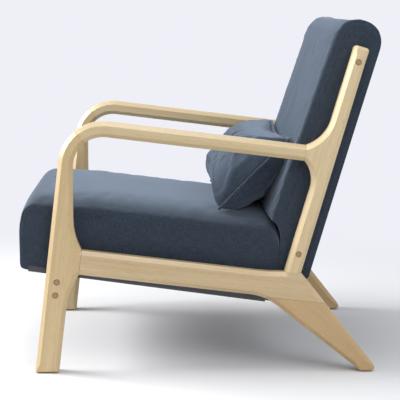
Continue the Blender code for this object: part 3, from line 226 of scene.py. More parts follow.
class StageSettings(bpy.types.PropertyGroup):
    """Floor, lights and camera."""

    floor_near: length("Floor from", 0.55, "Distance at which the floor starts to turn into the backdrop")
    floor_far: length("Floor to", 1.70, "Distance at which it has done so")
    floor: tint("Floor", (0.74, 0.745, 0.76), "Plain pale floor")
    backdrop: tint("Backdrop", (0.863, 0.871, 0.930), "What the camera sees behind the chair")
    world: tint("Surroundings", (0.86, 0.88, 0.92), "Light from all round")
    world_strength: amount("Surroundings strength", 0.57, "Level of that light")
    front: power("Front light", 132, "Power of the light before the chair")
    overhead: power("Overhead light", 19, "Power of the light above")
    fill: power("Fill light", 34, "Power of the light at the camera's side")
    lens: FloatProperty(
        name="Lens", description="Focal length on a 36 mm sensor", default=119.88, unit="CAMERA"
    )
    eye: FloatVectorProperty(
        name="Eye",
        description="Where the camera stands",
        default=(3.21, -0.0825, 0.817),
        subtype="TRANSLATION",
    )
    pitch: angle("Pitch", 8.41, "How far the camera looks down")
    turn: angle("Turn", 1.67, "How far it looks towards the chair's rear")
    roll: angle("Roll", 0.17, "About its own axis")


# Planes and outlines


def tilted_plane():
    """The plane that the seat and the side frames fall along."""
    chair = bpy.context.scene.lounge_chair
    return Matrix.Translation((0, chair.centring, chair.height)) @ Matrix.Rotation(-chair.tilt, 4, "X")


def plane_at(along, up, lean):
    """A plane whose origin is given in the tilted plane, leaning back from vertical."""
    origin = tilted_plane() @ Vector((0, along, up))
    return Matrix.Translation(origin) @ Matrix.Rotation(-lean, 4, "X")


def back_plane():
    """The plane of the back's rear face, from its foot."""
    back = bpy.context.scene.lounge_back
    return plane_at(back.along, back.up, back.lean)


def pillow_plane():
    """The plane of the pillow's seam, from the middle of its foot."""
    seat = bpy.context.scene.lounge_seat
    pillow = bpy.context.scene.lounge_pillow
    return plane_at(pillow.along, seat.height + seat.crown + pillow.stand, pillow.lean)


def arc_points(centre, radius, start, end, steps=12):
    """Points along an arc, its ends included."""
    turns = [start + (end - start) * step / steps for step in range(steps + 1)]
    return [centre + Vector((math.cos(turn), math.sin(turn))) * radius for turn in turns]


def rounded_corner(before, corner, after, radius):
    """An arc that rounds a corner between two straight lines."""
    to_before = (before - corner).normalized()
    to_after = (after - corner).normalized()
    half = to_before.angle(to_after) / 2
    middle = corner + (to_before + to_after).normalized() * (radius / math.sin(half))
    first = corner + to_before * (radius / math.tan(half)) - middle
    last = corner + to_after * (radius / math.tan(half)) - middle
    start = math.atan2(first.y, first.x)
    turn = math.remainder(math.atan2(last.y, last.x) - start, math.tau)
    return arc_points(middle, radius, start, start + turn)


def outline_sides(corners):
    """Sides of a rounded outline, split in the middle of each corner that ends a side.

    Corners are (point, radius, ends_a_side).
    """
    points = []
    splits = []
    for i, (corner, radius, ends_side) in enumerate(corners):
        arc = [corner]
        if radius:
            arc = rounded_corner(corners[i - 1][0], corner, corners[(i + 1) % len(corners)][0], radius)
        if ends_side:
            splits.append(len(points) + len(arc) // 2)
        points += arc
    sides = []
    for first, last in zip(splits, splits[1:] + [splits[0] + len(points)]):
        sides.append([points[k % len(points)] for k in range(first, last + 1)])
    return sides


def spaced(points, count):
    """Points at even steps along a line."""
    reached = [0.0]
    for here, there in zip(points, points[1:]):
        reached.append(reached[-1] + (there - here).length)
    result = []
    k = 0
    for step in range(count + 1):
        wanted = reached[-1] * step / count
        while k < len(points) - 2 and reached[k + 1] < wanted:
            k += 1
        run = reached[k + 1] - reached[k]
        result.append(points[k].lerp(points[k + 1], (wanted - reached[k]) / run))
    return result


def inset_points(points, distance):
    """A closed outline moved inward, with its corners kept."""
    ahead = [points[(k + 1) % len(points)] for k in range(len(points))]
    area = sum(here.x * there.y - there.x * here.y for here, there in zip(points, ahead))
    turn = math.copysign(0.5, area)
    moved = []
    for k, (point, there) in enumerate(zip(points, ahead)):
        before = (point - points[k - 1]).normalized()
        after = (there - point).normalized()
        inward = Vector((-before.y - after.y, before.x + after.x)) * turn
        moved.append(point + inward * (distance / max(inward.length_squared, 0.3)))
    return moved


def line_length(points):
    return sum((there - here).length for here, there in zip(points, points[1:]))


def seat_sides(crown):
    """The seat's section: front, top, rear and underside; crown is 1 in the middle and 0 at a side."""
    seat = bpy.context.scene.lounge_seat
    front = seat.front - seat.front_crown * crown
    top = seat.height + seat.crown * crown
    nose = top - seat.nose_fall * (1 + crown)
    nose_round = seat.nose_round + seat.nose_round_crown * crown
    sweep = 0.15
    ease = 0.40
    fullest = 0.65 * seat.height
    return outline_sides(
        [
            (Vector((front, seat.base_front)), seat.lower_round, True),
            (Vector((front - seat.bulge, fullest)), sweep, False),
            (Vector((front - seat.bulge / 2, nose)), nose_round, True),
            (Vector((seat.front + seat.nose_length, top)), ease, False),
            (Vector((seat.rear, top)), seat.rear_round, True),
            (Vector((seat.rear, seat.base_rear)), 0, True),
        ]
    )


def to_back(point):
    """A point of the tilted plane in the back's own plane."""
    there = back_plane().inverted() @ (tilted_plane() @ Vector((0, point.x, point.y)))
    return Vector((there.y, there.z))


def back_sides(crown):
    """The back's section: rear, top, front, and the notch that sits on the seat."""
    seat = bpy.context.scene.lounge_seat
    back = bpy.context.scene.lounge_back
    centre = Vector((seat.rear - seat.rear_round, seat.height + seat.crown - seat.rear_round))
    touch = back.touch_side + (back.touch_middle - back.touch_side) * crown
    notch = arc_points(centre, seat.rear_round + back.gap, touch, 0.0)
    tuck = 0.004
    foot = notch[-1] - Vector((0, notch[-1].y - back.up + tuck))
    rear_low = Vector((0, 0))
    top = back.tall - back.top_fall * crown
    rear_high = Vector((0, top))
    front_high = Vector((-back.depth - back.crown * crown, top))
    corners = [
        (rear_low, 0, True),
        (rear_high, back.rear_round, True),
        (front_high, back.front_round, True),
    ]
    for i, point in enumerate(notch):
        corners.append((to_back(point), 0, i == 0))
    corners.append((to_back(foot), 0, False))
    return outline_sides(corners)


def pillow_sides():
    """The pillow's seam: left, top, right and bottom as the camera sees the front, (across, up)."""
    pillow = bpy.context.scene.lounge_pillow
    half = pillow.width / 2
    ends = [(-half, 0.0), (-half, pillow.tall), (half, pillow.tall), (half, 0.0)]
    sides = outline_sides([(Vector(end), pillow.corner, True) for end in ends])
    end_pull = Vector((pillow.draw_in, 0))
    pulls = [end_pull, Vector((0, -pillow.top_draw_in)), -end_pull, Vector((0, 0))]
    outline = []
    for side, pull in zip(sides, pulls):
        for k, point in enumerate(spaced(side, PILLOW_STEPS)[:-1]):
            moved = point + pull * math.sin(math.pi * k / PILLOW_STEPS) ** 2
            lowness = max(0.0, 1 - moved.y / (pillow.tall / 2))
            moved.y -= pillow.corner_drop * lowness * abs(moved.x / half) ** CORNER_POWER
            outline.append(moved)
    seam = inset_points(outline, pillow.piping)
    seam.append(seam[0])
    return [seam[k * PILLOW_STEPS : (k + 1) * PILLOW_STEPS + 1] for k in range(4)]


def seam_reach(outline, middle):
    """Makes a function that gives the distance from the middle to the seam in a direction."""
    polar = []
    for point in outline:
        turn = math.atan2(point.y - middle.y, point.x - middle.x)
        polar.append((turn, (point - middle).length))
    turns, reaches = zip(*sorted(polar))

    def reach(direction):
        return float(np.interp(math.atan2(direction.y, direction.x), turns, reaches, period=math.tau))

    return reach


def pillow_room():
    """Makes a function that gives how far the pillow's rear can swell before it meets the seat or back."""
    seat = bpy.context.scene.lounge_seat
    back = bpy.context.scene.lounge_back
    pillow = bpy.context.scene.lounge_pillow
    from_world = pillow_plane().inverted()
    top = seat.height + seat.crown
    spoke = Vector((0, math.cos(back.touch_middle), math.sin(back.touch_middle)))
    edge = Vector((0, seat.rear - seat.rear_round, top - seat.rear_round)) + spoke * seat.rear_round
    seat_line = [from_world @ tilted_plane() @ Vector((0, along, top)) for along in (pillow.along, seat.rear)]
    crest = back_plane() @ Vector((0, -back.depth - back.crown, back.tall - back.top_fall))
    back_line = [from_world @ tilted_plane() @ edge, from_world @ crest]

    def room(up):
        found = []
        for low, high in (seat_line, back_line):
            found.append(low.y + (high.y - low.y) * (up - low.z) / (high.z - low.z))
        return min(found) - pillow.rest_gap

    return room


# Cloth forms


def filled_panel(sides):
    """Points inside four meeting lines, spread evenly: {(i, j): point}."""
    across = len(sides[0]) - 1
    along = len(sides[1]) - 1
    inside = {}
    for i in range(1, across):
        for j in range(1, along):
            u = i / across
            v = j / along
            near, far = sides[0][i], sides[2][across - i]
            first, last = sides[3][along - j], sides[1][j]
            flat = near * (1 - v) + far * v + first * (1 - u) + last * u
            flat -= sides[0][0] * ((1 - u) * (1 - v)) + sides[1][0] * (u * (1 - v))
            flat -= sides[2][0] * (u * v) + sides[3][0] * ((1 - u) * v)
            inside[i, j] = flat
    return inside


def panel_grid(bm, ring, across, along, inside):
    """Fills a ring of vertices with quads around the inside vertices, and returns the faces."""

    def at(i, j):
        if j == 0:
            return ring[i]
        if i == across:
            return ring[across + j]
        if j == along:
            return ring[2 * across + along - i]
        if i == 0:
            return ring[(2 * across + 2 * along - j) % len(ring)]
        return inside[i, j]

    faces = []
    for i in range(across):
        for j in range(along):
            faces.append(bm.faces.new((at(i, j), at(i + 1, j), at(i + 1, j + 1), at(i, j + 1))))
    return faces


def side_counts(sides, cell):
    """How many cells each pair of facing sides has."""
    lengths = [line_length(side) for side in sides]
    return [max(4, round(max(lengths[k], lengths[k + 2]) / cell)) for k in (0, 1)]


def new_piece(name, bm, plane, body, material):
    """Makes a piece from a mesh drawn in a plane, and lets it ride on a body."""
    bmesh.ops.recalc_face_normals(bm, faces=bm.faces[:])
    mesh = bpy.data.meshes.new(name)
    bm.to_mesh(mesh)
    bm.free()
    mesh.transform(plane)
    mesh.shade_smooth()
    piece = bpy.data.objects.new(name, mesh)
    bpy.context.scene.collection.objects.link(piece)
    mesh.materials.append(material)
    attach(piece, body)
    return piece


def cushion_form(sides_at, draw_in_at, relief_at, bands):
    """A closed cushion of quads: one strip over its width, and a panel at each side.

    Beside a seam the panel has bands at given distances, and relief_at(distance, point) says how far it
    stands out there. Returns the mesh, the strip's rings as vertex numbers, the side of the section that
    each vertex of a ring is on, and the vertices of the bands.
    """
    chair = bpy.context.scene.lounge_chair
    counts = side_counts(sides_at(1.0), chair.cell)
    counts = [counts[0], counts[1], counts[0], counts[1]]
    half_steps = round(chair.half / chair.cell)
    outer = [step / half_steps for step in range(half_steps)]
    outer += [1 - distance / chair.half for distance in SEAM_COLUMNS] + [1.0]
    fractions = [-fraction for fraction in reversed(outer[1:])] + outer
    bm = bmesh.new()
    weave = bm.loops.layers.uv.new(WEAVE_MAP)
    crease = bm.edges.layers.float.new("crease_edge")
    side_of = [number for number, count in enumerate(counts) for _ in range(count)]
    rings = []
    for fraction in fractions:
        crown = (1 - abs(fraction) ** chair.crown_power) ** chair.crown_fullness
        points = []
        for side, count in zip(sides_at(crown), counts):
            points += spaced(side, count)[:-1]
        ring = []
        for point in points:
            half = chair.half - chair.draw_in * draw_in_at(point)
            ring.append(bm.verts.new((fraction * half, point.x, point.y)))
        rings.append(ring)
    middle = rings[len(rings) // 2]
    run = [0.0]
    for here, there in zip(middle, middle[1:]):
        run.append(run[-1] + (there.co - here.co).length)
    run.append(run[-1] + chair.cell)
    for ring, following in zip(rings, rings[1:]):
        for k in range(len(ring)):
            after = (k + 1) % len(ring)
            face = bm.faces.new((ring[k], ring[after], following[after], following[k]))
            places = (run[k], run[k + 1], run[k + 1], run[k])
            for loop, place in zip(face.loops, places):
                loop[weave].uv = (loop.vert.co.x, place)
    beside = []
    for ring, outward in ((rings[0], -1), (rings[-1], 1)):
        for k, vertex in enumerate(ring):
            bm.edges.get((ring[k - 1], vertex))[crease] = SEAM_CREASE
        outline = [Vector((vertex.co.y, vertex.co.z)) for vertex in ring]
        faces = []
        inner = ring
        for distance in bands:
            band = []
            for point in inset_points(outline, distance):
                out = chair.half - chair.draw_in * draw_in_at(point) + relief_at(distance, point)
                band.append(bm.verts.new((outward * out, point.x, point.y)))
            for k in range(len(ring)):
                faces.append(bm.faces.new((inner[k - 1], inner[k], band[k], band[k - 1])))
            inner = band
            beside.append(band)
        corners = [0, counts[0], counts[0] + counts[1], 2 * counts[0] + counts[1], len(ring)]
        lines = []
        for first, last in zip(corners, corners[1:]):
            lines.append([inner[k % len(ring)].co.copy() for k in range(first, last + 1)])
        inside = {}
        for (i, j), point in filled_panel(lines).items():
            puff = math.sin(math.pi * i / counts[0]) * math.sin(math.pi * j / counts[1])
            inside[i, j] = bm.verts.new(point + Vector((outward * PANEL_SWELL * puff**0.5, 0, 0)))
        faces += panel_grid(bm, inner, counts[0], counts[1], inside)
        for face in faces:
            for loop in face.loops:
                loop[weave].uv = (loop.vert.co.y, loop.vert.co.z)
        for vertex in ring:
            vertex.co.x -= outward * SEAM_GROOVE
    bm.verts.index_update()
    numbers = [[vertex.index for vertex in ring] for ring in rings]
    return bm, numbers, side_of, [vertex.index for band in beside for vertex in band]


def sewn_panels(sides, cell, out_at):
    """Two panels of quads that meet in a seam; out_at(facing, point) says how far a point stands out.

    A point is (across, up), and out_at gives (across, out). Returns the mesh and the seam's vertices.
    """
    counts = side_counts(sides, cell)
    lines = [spaced(side, counts[k % 2]) for k, side in enumerate(sides)]
    bm = bmesh.new()
    weave = bm.loops.layers.uv.new(WEAVE_MAP)
    ring = []
    for line in lines:
        ring += [bm.verts.new((point.x, 0, point.y)) for point in line[:-1]]
    for facing in (-1, 1):
        inside = {}
        for (i, j), point in filled_panel(lines).items():
            across, out = out_at(facing, point)
            inside[i, j] = bm.verts.new((across, facing * out, point.y))
        for face in panel_grid(bm, ring, counts[0], counts[1], inside):
            for loop in face.loops:
                loop[weave].uv = (loop.vert.co.x, loop.vert.co.z)
    bm.verts.index_update()
    return bm, ring


def cord_mesh(line, radius, closed, step=0.003, sides=10):
    """A round cord along a line in a plane, with flat ends unless it is closed."""
    bm = bmesh.new()
    weave = bm.loops.layers.uv.new(WEAVE_MAP)
    line = line + line[:1] if closed else line
    count = round(line_length(line) / step)
    path = spaced(line, count)
    if closed:
        path.pop()
    rings = []
    for k, point in enumerate(path):
        last = k + 1 == len(path)
        after = path[0] if last and closed else path[min(k + 1, len(path) - 1)]
        before = path[k - 1] if k or closed else point
        outward = (after - before).normalized().cross(Vector((0, 1, 0)))
        ring = []
        for turn in range(sides):
            around = math.tau * turn / sides
            offset = outward * math.cos(around) + Vector((0, 1, 0)) * math.sin(around)
            ring.append(bm.verts.new(point + offset * radius))
        rings.append(ring)
    pairs = list(zip(rings, rings[1:]))
    if closed:
        pairs.append((rings[-1], rings[0]))
    else:
        bm.faces.new(rings[0])
        bm.faces.new(rings[-1])
    for k, (ring, following) in enumerate(pairs):
        for turn in range(sides):
            after = (turn + 1) % sides
            face = bm.faces.new((ring[turn], ring[after], following[after], following[turn]))
            for loop in face.loops:
                loop[weave].uv = (k * step, turn * math.tau * radius / sides)
    return bm


def fill_with_air(piece, held, slack, reach, rise):
    """Runs the cover as cloth round its filling, and keeps its folds but not its broad swelling.

    The form's own section stays: a point moves by reach at most, and outward by rise at most.
    """
    group = piece.vertex_groups.new(name=HELD_GROUP)
    group.add(held, 1.0, "REPLACE")
    cloth = piece.modifiers.new("cover", "CLOTH")
    settings = cloth.settings
    settings.quality = 6
    settings.mass = 0.3
    settings.tension_stiffness = 15
    settings.compression_stiffness = 15
    settings.shear_stiffness = 5
    settings.bending_stiffness = 0.5
    settings.vertex_group_mass = HELD_GROUP
    settings.use_pressure = True
    settings.uniform_pressure_force = CLOTH_PRESSURE
    settings.shrink_min = -slack
    settings.effector_weights.gravity = 0
    cloth.collision_settings.use_collision = False
    cloth.point_cache.frame_end = CLOTH_FRAMES
    scene = bpy.context.scene
    for step in range(1, CLOTH_FRAMES + 1):
        scene.frame_set(step)
    graph = bpy.context.evaluated_depsgraph_get()
    settled = [vertex.co.copy() for vertex in piece.evaluated_get(graph).data.vertices]
    piece.modifiers.remove(cloth)
    piece.vertex_groups.clear()
    scene.frame_set(1)
    moves = np.array([place - vertex.co for vertex, place in zip(piece.data.vertices, settled)])
    moves -= evened(piece.data, moves, held)
    normals = np.array([vertex.normal for vertex in piece.data.vertices])
    out = (moves * normals).sum(axis=1, keepdims=True)
    moves -= normals * np.maximum(out - rise, 0)
    sizes = np.linalg.norm(moves, axis=1, keepdims=True)
    moves *= np.minimum(1.0, reach / np.maximum(sizes, 1e-9))
    for vertex, move in zip(piece.data.vertices, moves):
        vertex.co += Vector(move)


def evened(mesh, moves, held, rounds=30):
    """The broad part of a movement, without its folds; held points don't move."""
    pairs = np.array([edge.vertices[:] for edge in mesh.edges])
    links = np.bincount(pairs.ravel(), minlength=len(moves))[:, None]
    broad = moves.copy()
    for _ in range(rounds):
        total = np.zeros_like(broad)
        np.add.at(total, pairs[:, 0], broad[pairs[:, 1]])
        np.add.at(total, pairs[:, 1], broad[pairs[:, 0]])
        broad = 0.5 * broad + 0.5 * total / links
        broad[held] = 0
    return broad


def divide(piece, levels=1):
    """Divides a piece's faces smoothly, once for good."""
    finer = piece.modifiers.new("finer", "SUBSURF")
    finer.levels = levels
    finer.render_levels = levels
    graph = bpy.context.evaluated_depsgraph_get()
    mesh = bpy.data.meshes.new_from_object(piece.evaluated_get(graph), depsgraph=graph)
    piece.modifiers.remove(finer)
    old = piece.data
    mesh.name = old.name
    piece.data = mesh
    bpy.data.meshes.remove(old)


def seam_tree(lines, step=0.002):
    """Finds the nearest seam: a tree of points along closed lines, with the run along each."""
    points = []
    runs = []
    for line in lines:
        closed = line + line[:1]
        count = max(8, round(line_length(closed) / step))
        for k, point in enumerate(spaced(closed, count)[:-1]):
            points.append(point)
            runs.append(k * step)
    tree = KDTree(len(points))
    for k, point in enumerate(points):
        tree.insert(point, k)
    tree.balance()
    return tree, runs


def bell(distance, width):
    """1 at no distance, falling to nearly 0 at twice the width."""
    return math.exp(-((distance / width) ** 2))


def pucker(piece, lines, height, width):
    """Draws small folds into the cloth, square to its seams."""
    long_fold = 0.016
    short_fold = 0.008
    drift = 9
    tallest = 0.3
    sewn_flat = 0.006
    tree, runs = seam_tree(lines)
    moves = []
    for vertex in piece.data.vertices:
        _, number, distance = tree.find(vertex.co)
        run = runs[number]
        wave = noise.noise(Vector((run / long_fold, vertex.co.x * drift, 3.1)))
        wave += 0.5 * noise.noise(Vector((run / short_fold, vertex.co.x * drift, 7.7)))
        move = height * min(wave, tallest) * bell(distance - width * 0.8, width)
        moves.append(vertex.normal * (move * min(distance / sewn_flat, 1)))
    for vertex, move in zip(piece.data.vertices, moves):
        vertex.co += move


def settle_cushion(piece, rings, side_of, beside, resting, swell, folds):
    """Fills a cushion's cover, and draws folds into it beside its two seams.

    The cloth is held at its seams, and on the sides of its section that rest on something.
    """
    held = [v for ring in rings for v, side in zip(ring, side_of) if side in resting]
    held += rings[0] + rings[-1] + beside
    fill_with_air(piece, held, slack=0.012, reach=swell, rise=0.0008)
    seams = [[piece.data.vertices[v].co.copy() for v in ring] for ring in (rings[0], rings[-1])]
    divide(piece)
    pucker(piece, seams, folds, width=0.012)


def ridge_relief(distance, point, ridge, seed, eased=0.0):
    """How far a side panel stands out beside its seam, over the cloth's turned-in edges."""
    ripple = 0.75 + 0.5 * noise.noise(Vector((point.x / RIPPLE, point.y / RIPPLE, seed)))
    return RIDGE_HEIGHT * ripple * (bell(distance - ridge, RIDGE_WIDTH) + eased)


def softly_least(first, second, softness):
    """The lesser of two lengths, with a soft passage where they are alike."""
    return -softness * math.log(math.exp(-first / softness) + math.exp(-second / softness))


# Materials


class Nodes:
    """Short calls for building the nodes of a material or a world."""

    def __init__(self, owner):
        owner.use_nodes = True
        self.owner = owner
        self.tree = owner.node_tree
        self.shader = self.tree.nodes.get("Principled BSDF")

    def node(self, kind, inputs=None, **settings):
        made = self.tree.nodes.new(kind)
        for name, value in settings.items():
            setattr(made, name, value)
        for name, value in (inputs or {}).items():
            self.feed(made.inputs[name], value)
        return made

    def feed(self, socket, value):
        if isinstance(value, bpy.types.NodeSocket):
            self.tree.links.new(value, socket)
        else:
            socket.default_value = value

    def math(self, operation, first, second=0.0, clamp=False):
        made = self.tree.nodes.new("ShaderNodeMath")
        made.operation = operation
        made.use_clamp = clamp
        self.feed(made.inputs[0], first)
        self.feed(made.inputs[1], second)
        return made.outputs[0]

    def weighed(self, first, first_share, second, second_share):
        """Two factors added by their shares."""
        scaled = self.math("MULTIPLY", first, first_share)
        return self.math("ADD", scaled, self.math("MULTIPLY", second, second_share), clamp=True)

    def vector(self, operation, first, second=(0, 0, 0)):
        made = self.node("ShaderNodeVectorMath", {0: first, 1: second}, operation=operation)
        return made.outputs["Value" if operation == "LENGTH" else "Vector"]

    def ramp(self, factor, low, high):
        """A factor spread so that low becomes 0 and high becomes 1."""
        made = self.node("ShaderNodeMapRange", {"Value": factor, "From Min": low, "From Max": high})
        return made.outputs["Result"]

    def mix(self, factor, first, second, blend="MIX"):
        made = self.tree.nodes.new("ShaderNodeMix")
        made.data_type = "RGBA"
        made.blend_type = blend
        self.feed(made.inputs["Factor"], factor)
        for socket, value in ((made.inputs[6], first), (made.inputs[7], second)):
            self.feed(socket, (*value, 1) if len_of(value) == 3 else value)
        return made.outputs[2]

    def stretched(self, vector, scale, rotation=(0, 0, 0)):
        made = self.node("ShaderNodeMapping", {"Vector": vector, "Scale": scale, "Rotation": rotation})
        return made.outputs["Vector"]

    def noise(self, vector, scale=1.0, detail=2.0, roughness=0.5, distortion=0.0):
        wanted = {"Vector": vector, "Scale": scale, "Detail": detail}
        wanted.update({"Roughness": roughness, "Distortion": distortion})
        return self.node("ShaderNodeTexNoise", wanted).outputs["Fac"]

    def place(self):
        return self.node("ShaderNodeTexCoord").outputs["Object"]

    def bump(self, height, strength, distance):
        wanted = {"Height": height, "Strength": strength, "Distance": distance}
        made = self.node("ShaderNodeBump", wanted)
        self.tree.links.new(made.outputs["Normal"], self.shader.inputs["Normal"])

    def finish(self, **inputs):
        for name, value in inputs.items():
            self.feed(self.shader.inputs[name.replace("_", " ")], value)
        return self.owner


def len_of(value):
    return len(value) if hasattr(value, "__len__") else 0


def kept(name, make):
    """A material made once and then shared."""
    return bpy.data.materials.get(name) or make(name)


def fabric(name):
    """Plain-woven upholstery with a short nap."""
    settings = bpy.context.scene.lounge_fabric
    nodes = Nodes(bpy.data.materials.new(name))
    flat = nodes.node("ShaderNodeAttribute", attribute_name=WEAVE_MAP).outputs["Vector"]
    place = nodes.place()
    split = nodes.node("ShaderNodeSeparateXYZ", {"Vector": flat})
    turns = math.pi / settings.thread
    warp = nodes.math("SINE", nodes.math("MULTIPLY", split.outputs["X"], turns))
    weft = nodes.math("SINE", nodes.math("MULTIPLY", split.outputs["Y"], turns))
    checker = nodes.math("MULTIPLY", warp, weft)
    slub = nodes.noise(nodes.stretched(flat, (900, 60, 1)), detail=3)
    cross_slub = nodes.noise(nodes.stretched(flat, (60, 900, 1)), detail=3)
    heather = nodes.math("ADD", slub, cross_slub)
    nap = nodes.noise(place, scale=22, detail=4, roughness=0.6)
    blend = nodes.math("ADD", nodes.ramp(heather, 0.80, 1.22), nodes.math("MULTIPLY", nap, 0.35))
    # The weave checker makes raised threads paler and sunken ones darker: painted shade between the threads.
    blend = nodes.math("ADD", blend, nodes.math("MULTIPLY", checker, 0.10), clamp=True)
    colour = nodes.mix(blend, settings.deep, settings.pale)
    height = nodes.math("ADD", nodes.math("MULTIPLY", checker, 0.5), heather)
    nodes.bump(height, 0.35, 0.0006)
    shader = nodes.shader.inputs
    shader["Sheen Weight"].default_value = settings.sheen_weight
    shader["Sheen Roughness"].default_value = settings.sheen_spread
    shader["Sheen Tint"].default_value = (*settings.sheen, 1)
    shader["Specular IOR Level"].default_value = 0.15
    return nodes.finish(Base_Color=colour, Roughness=0.92)


def wood(name, heading, seed, board_tone_and_shade=(1, 1, 1)):
    """Lacquered pale hardwood with its grain along a heading; a colour multiplier makes one board deeper than
    the next, partly its own tone and partly painted shade that darkens the lower boards.
    """
    settings = bpy.context.scene.lounge_wood
    nodes = Nodes(bpy.data.materials.new(name))
    turn = Vector(heading).rotation_difference(Vector((0, 1, 0))).to_euler()
    grain = nodes.stretched(nodes.place(), (1, 1, 1), turn)
    grain = nodes.vector("ADD", grain, (seed, seed * 1.7, seed * 0.6))
    bands = nodes.noise(nodes.stretched(grain, (60, 2.2, 60)), detail=3, distortion=0.5)
    lines = nodes.noise(nodes.stretched(grain, (260, 4.5, 260)), detail=4, roughness=0.6)
    fibre = nodes.noise(nodes.stretched(grain, (800, 14, 800)), detail=3)
    pores = nodes.noise(nodes.stretched(grain, (1500, 55, 1500)), detail=2)
    tone = nodes.math("MULTIPLY", nodes.ramp(bands, 0.30, 0.74), 0.55)
    tone = nodes.math("ADD", tone, nodes.math("MULTIPLY", nodes.ramp(lines, 0.35, 0.72), 0.40))
    tone = nodes.math("ADD", tone, nodes.math("MULTIPLY", nodes.ramp(fibre, 0.35, 0.7), 0.15), clamp=True)
    colour = nodes.mix(tone, settings.pale, settings.deep)
    fleck = nodes.math("MULTIPLY", nodes.ramp(pores, 0.60, 0.72), 0.55)
    colour = nodes.mix(fleck, colour, settings.pore)
    # Multiplies in the board's tone: partly its own colour, partly painted shade on the lower boards.
    colour = nodes.mix(1.0, colour, board_tone_and_shade, "MULTIPLY")
    rough = nodes.math("ADD", 0.40, nodes.math("MULTIPLY", fibre, 0.14))
    height = nodes.math("SUBTRACT", nodes.math("MULTIPLY", fibre, 0.4), fleck)
    nodes.bump(height, 0.10, 0.0004)
    nodes.shader.inputs["Coat Weight"].default_value = 0.6
    nodes.shader.inputs["Coat Roughness"].default_value = 0.26
    return nodes.finish(Base_Color=colour, Roughness=rough)


def plug_wood(name):
    """End grain of a round plug, with its rings off centre."""
    settings = bpy.context.scene.lounge_wood
    nodes = Nodes(bpy.data.materials.new(name))
    local = nodes.node("ShaderNodeTexCoord").outputs["Generated"]
    section = nodes.stretched(local, (0.2, 1, 1))
    wanted = {"Vector": section, "Scale": 2.2, "Distortion": 1.2, "Detail": 2.0}
    wave = nodes.node("ShaderNodeTexWave", wanted, wave_type="RINGS", rings_direction="X")
    speckle = nodes.noise(nodes.place(), scale=1800, detail=3)
    tone = nodes.weighed(wave.outputs["Fac"], 0.55, speckle, 0.5)
    paler = [min(1.0, part * 1.8) for part in settings.plug]
    colour = nodes.mix(tone, paler, settings.plug)
    centred = nodes.vector("SUBTRACT", local, (0.5, 0.5, 0.5))
    radius = nodes.vector("LENGTH", nodes.vector("MULTIPLY", centred, (0, 2, 2)))
    # Darker towards the rim: painted shade in the gap round the plug.
    colour = nodes.mix(nodes.ramp(radius, 0.80, 0.97), colour, settings.plug_rim_shade)
    nodes.bump(speckle, 0.15, 0.0003)
    return nodes.finish(Base_Color=colour, Roughness=0.5)


def speckled(name, first, second, scale, roughness, metallic=0.0, bump=0.0003, stretch=(1, 1, 1)):
    """Two close tones mixed by noise, with a fine rough surface."""
    nodes = Nodes(bpy.data.materials.new(name))
    place = nodes.stretched(nodes.place(), stretch)
    grain = nodes.noise(place, scale=scale, detail=4, roughness=0.6)
    broad = nodes.noise(place, scale=scale / 12, detail=2)
    tone = nodes.weighed(grain, 0.7, broad, 0.5)
    colour = nodes.mix(nodes.ramp(tone, 0.35, 0.85), first, second)
    rough = nodes.math("ADD", roughness - 0.08, nodes.math("MULTIPLY", grain, 0.16))
    nodes.bump(grain, 0.3, bump)
    return nodes.finish(Base_Color=colour, Roughness=rough, Metallic=metallic)


def frame_timber(name):
    return speckled(name, (0.66, 0.50, 0.30), (0.52, 0.36, 0.19), 60, 0.7, stretch=(0.3, 2, 2))


def tenon_wood(name):
    return speckled(name, (0.60, 0.44, 0.25), (0.48, 0.33, 0.17), 90, 0.65)


def steel(name):
    return speckled(name, (0.62, 0.63, 0.64), (0.48, 0.49, 0.51), 400, 0.35, metallic=1.0, bump=0.0001)


def webbing_strap(name):
    return speckled(name, (0.045, 0.045, 0.05), (0.13, 0.12, 0.11), 350, 0.8, stretch=(0.3, 3, 1))


def glide_plastic(name):
    return speckled(name, (0.030, 0.030, 0.032), (0.055, 0.055, 0.058), 1200, 0.45, bump=0.0001)


def zip_metal(name):
    return speckled(name, (0.62, 0.61, 0.58), (0.36, 0.36, 0.35), 700, 0.30, metallic=1.0, bump=0.0001)


def zip_tape(name):
    return speckled(name, (0.016, 0.018, 0.022), (0.035, 0.038, 0.045), 900, 0.75)


def dust_cloth(name):
    return speckled(name, (0.0020, 0.0020, 0.0023), (0.0060, 0.0060, 0.0066), 1500, 0.85, bump=0.0004)


# Pieces taken from the frame


def softened_copy(node, width, segments):
    """A copy of a CAD node's mesh with its sharp edges softened."""
    bm = bmesh.new()
    bm.from_mesh(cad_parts[node].data)
    bmesh.ops.remove_doubles(bm, verts=bm.verts[:], dist=0.00001)
    bmesh.ops.dissolve_limit(bm, angle_limit=math.radians(0.4), verts=bm.verts[:], edges=bm.edges[:])
    sharp_turn = math.radians(35)
    sharp = [edge for edge in bm.edges if len(edge.link_faces) == 2 and edge.calc_face_angle(0) > sharp_turn]
    bmesh.ops.bevel(
        bm,
        geom=sharp,
        offset=width,
        offset_type="OFFSET",
        segments=segments,
        profile=0.5,
        affect="EDGES",
        clamp_overlap=True,
    )
    return bm


def weigh_normals(piece):
    """Keeps large faces flat beside their softened edges."""
    weighted = piece.modifiers.new("even shading", "WEIGHTED_NORMAL")
    weighted.keep_sharp = True
    weighted.weight = 80


def dressed_copy(node, ending, width, segments, body, finish):
    """Puts a copy with softened edges in a CAD node's place."""
    bm = softened_copy(node, width, segments)
    piece = new_piece(f"{node}_{ending}", bm, Matrix.Identity(4), body, finish)
    weigh_normals(piece)
    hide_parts(node)


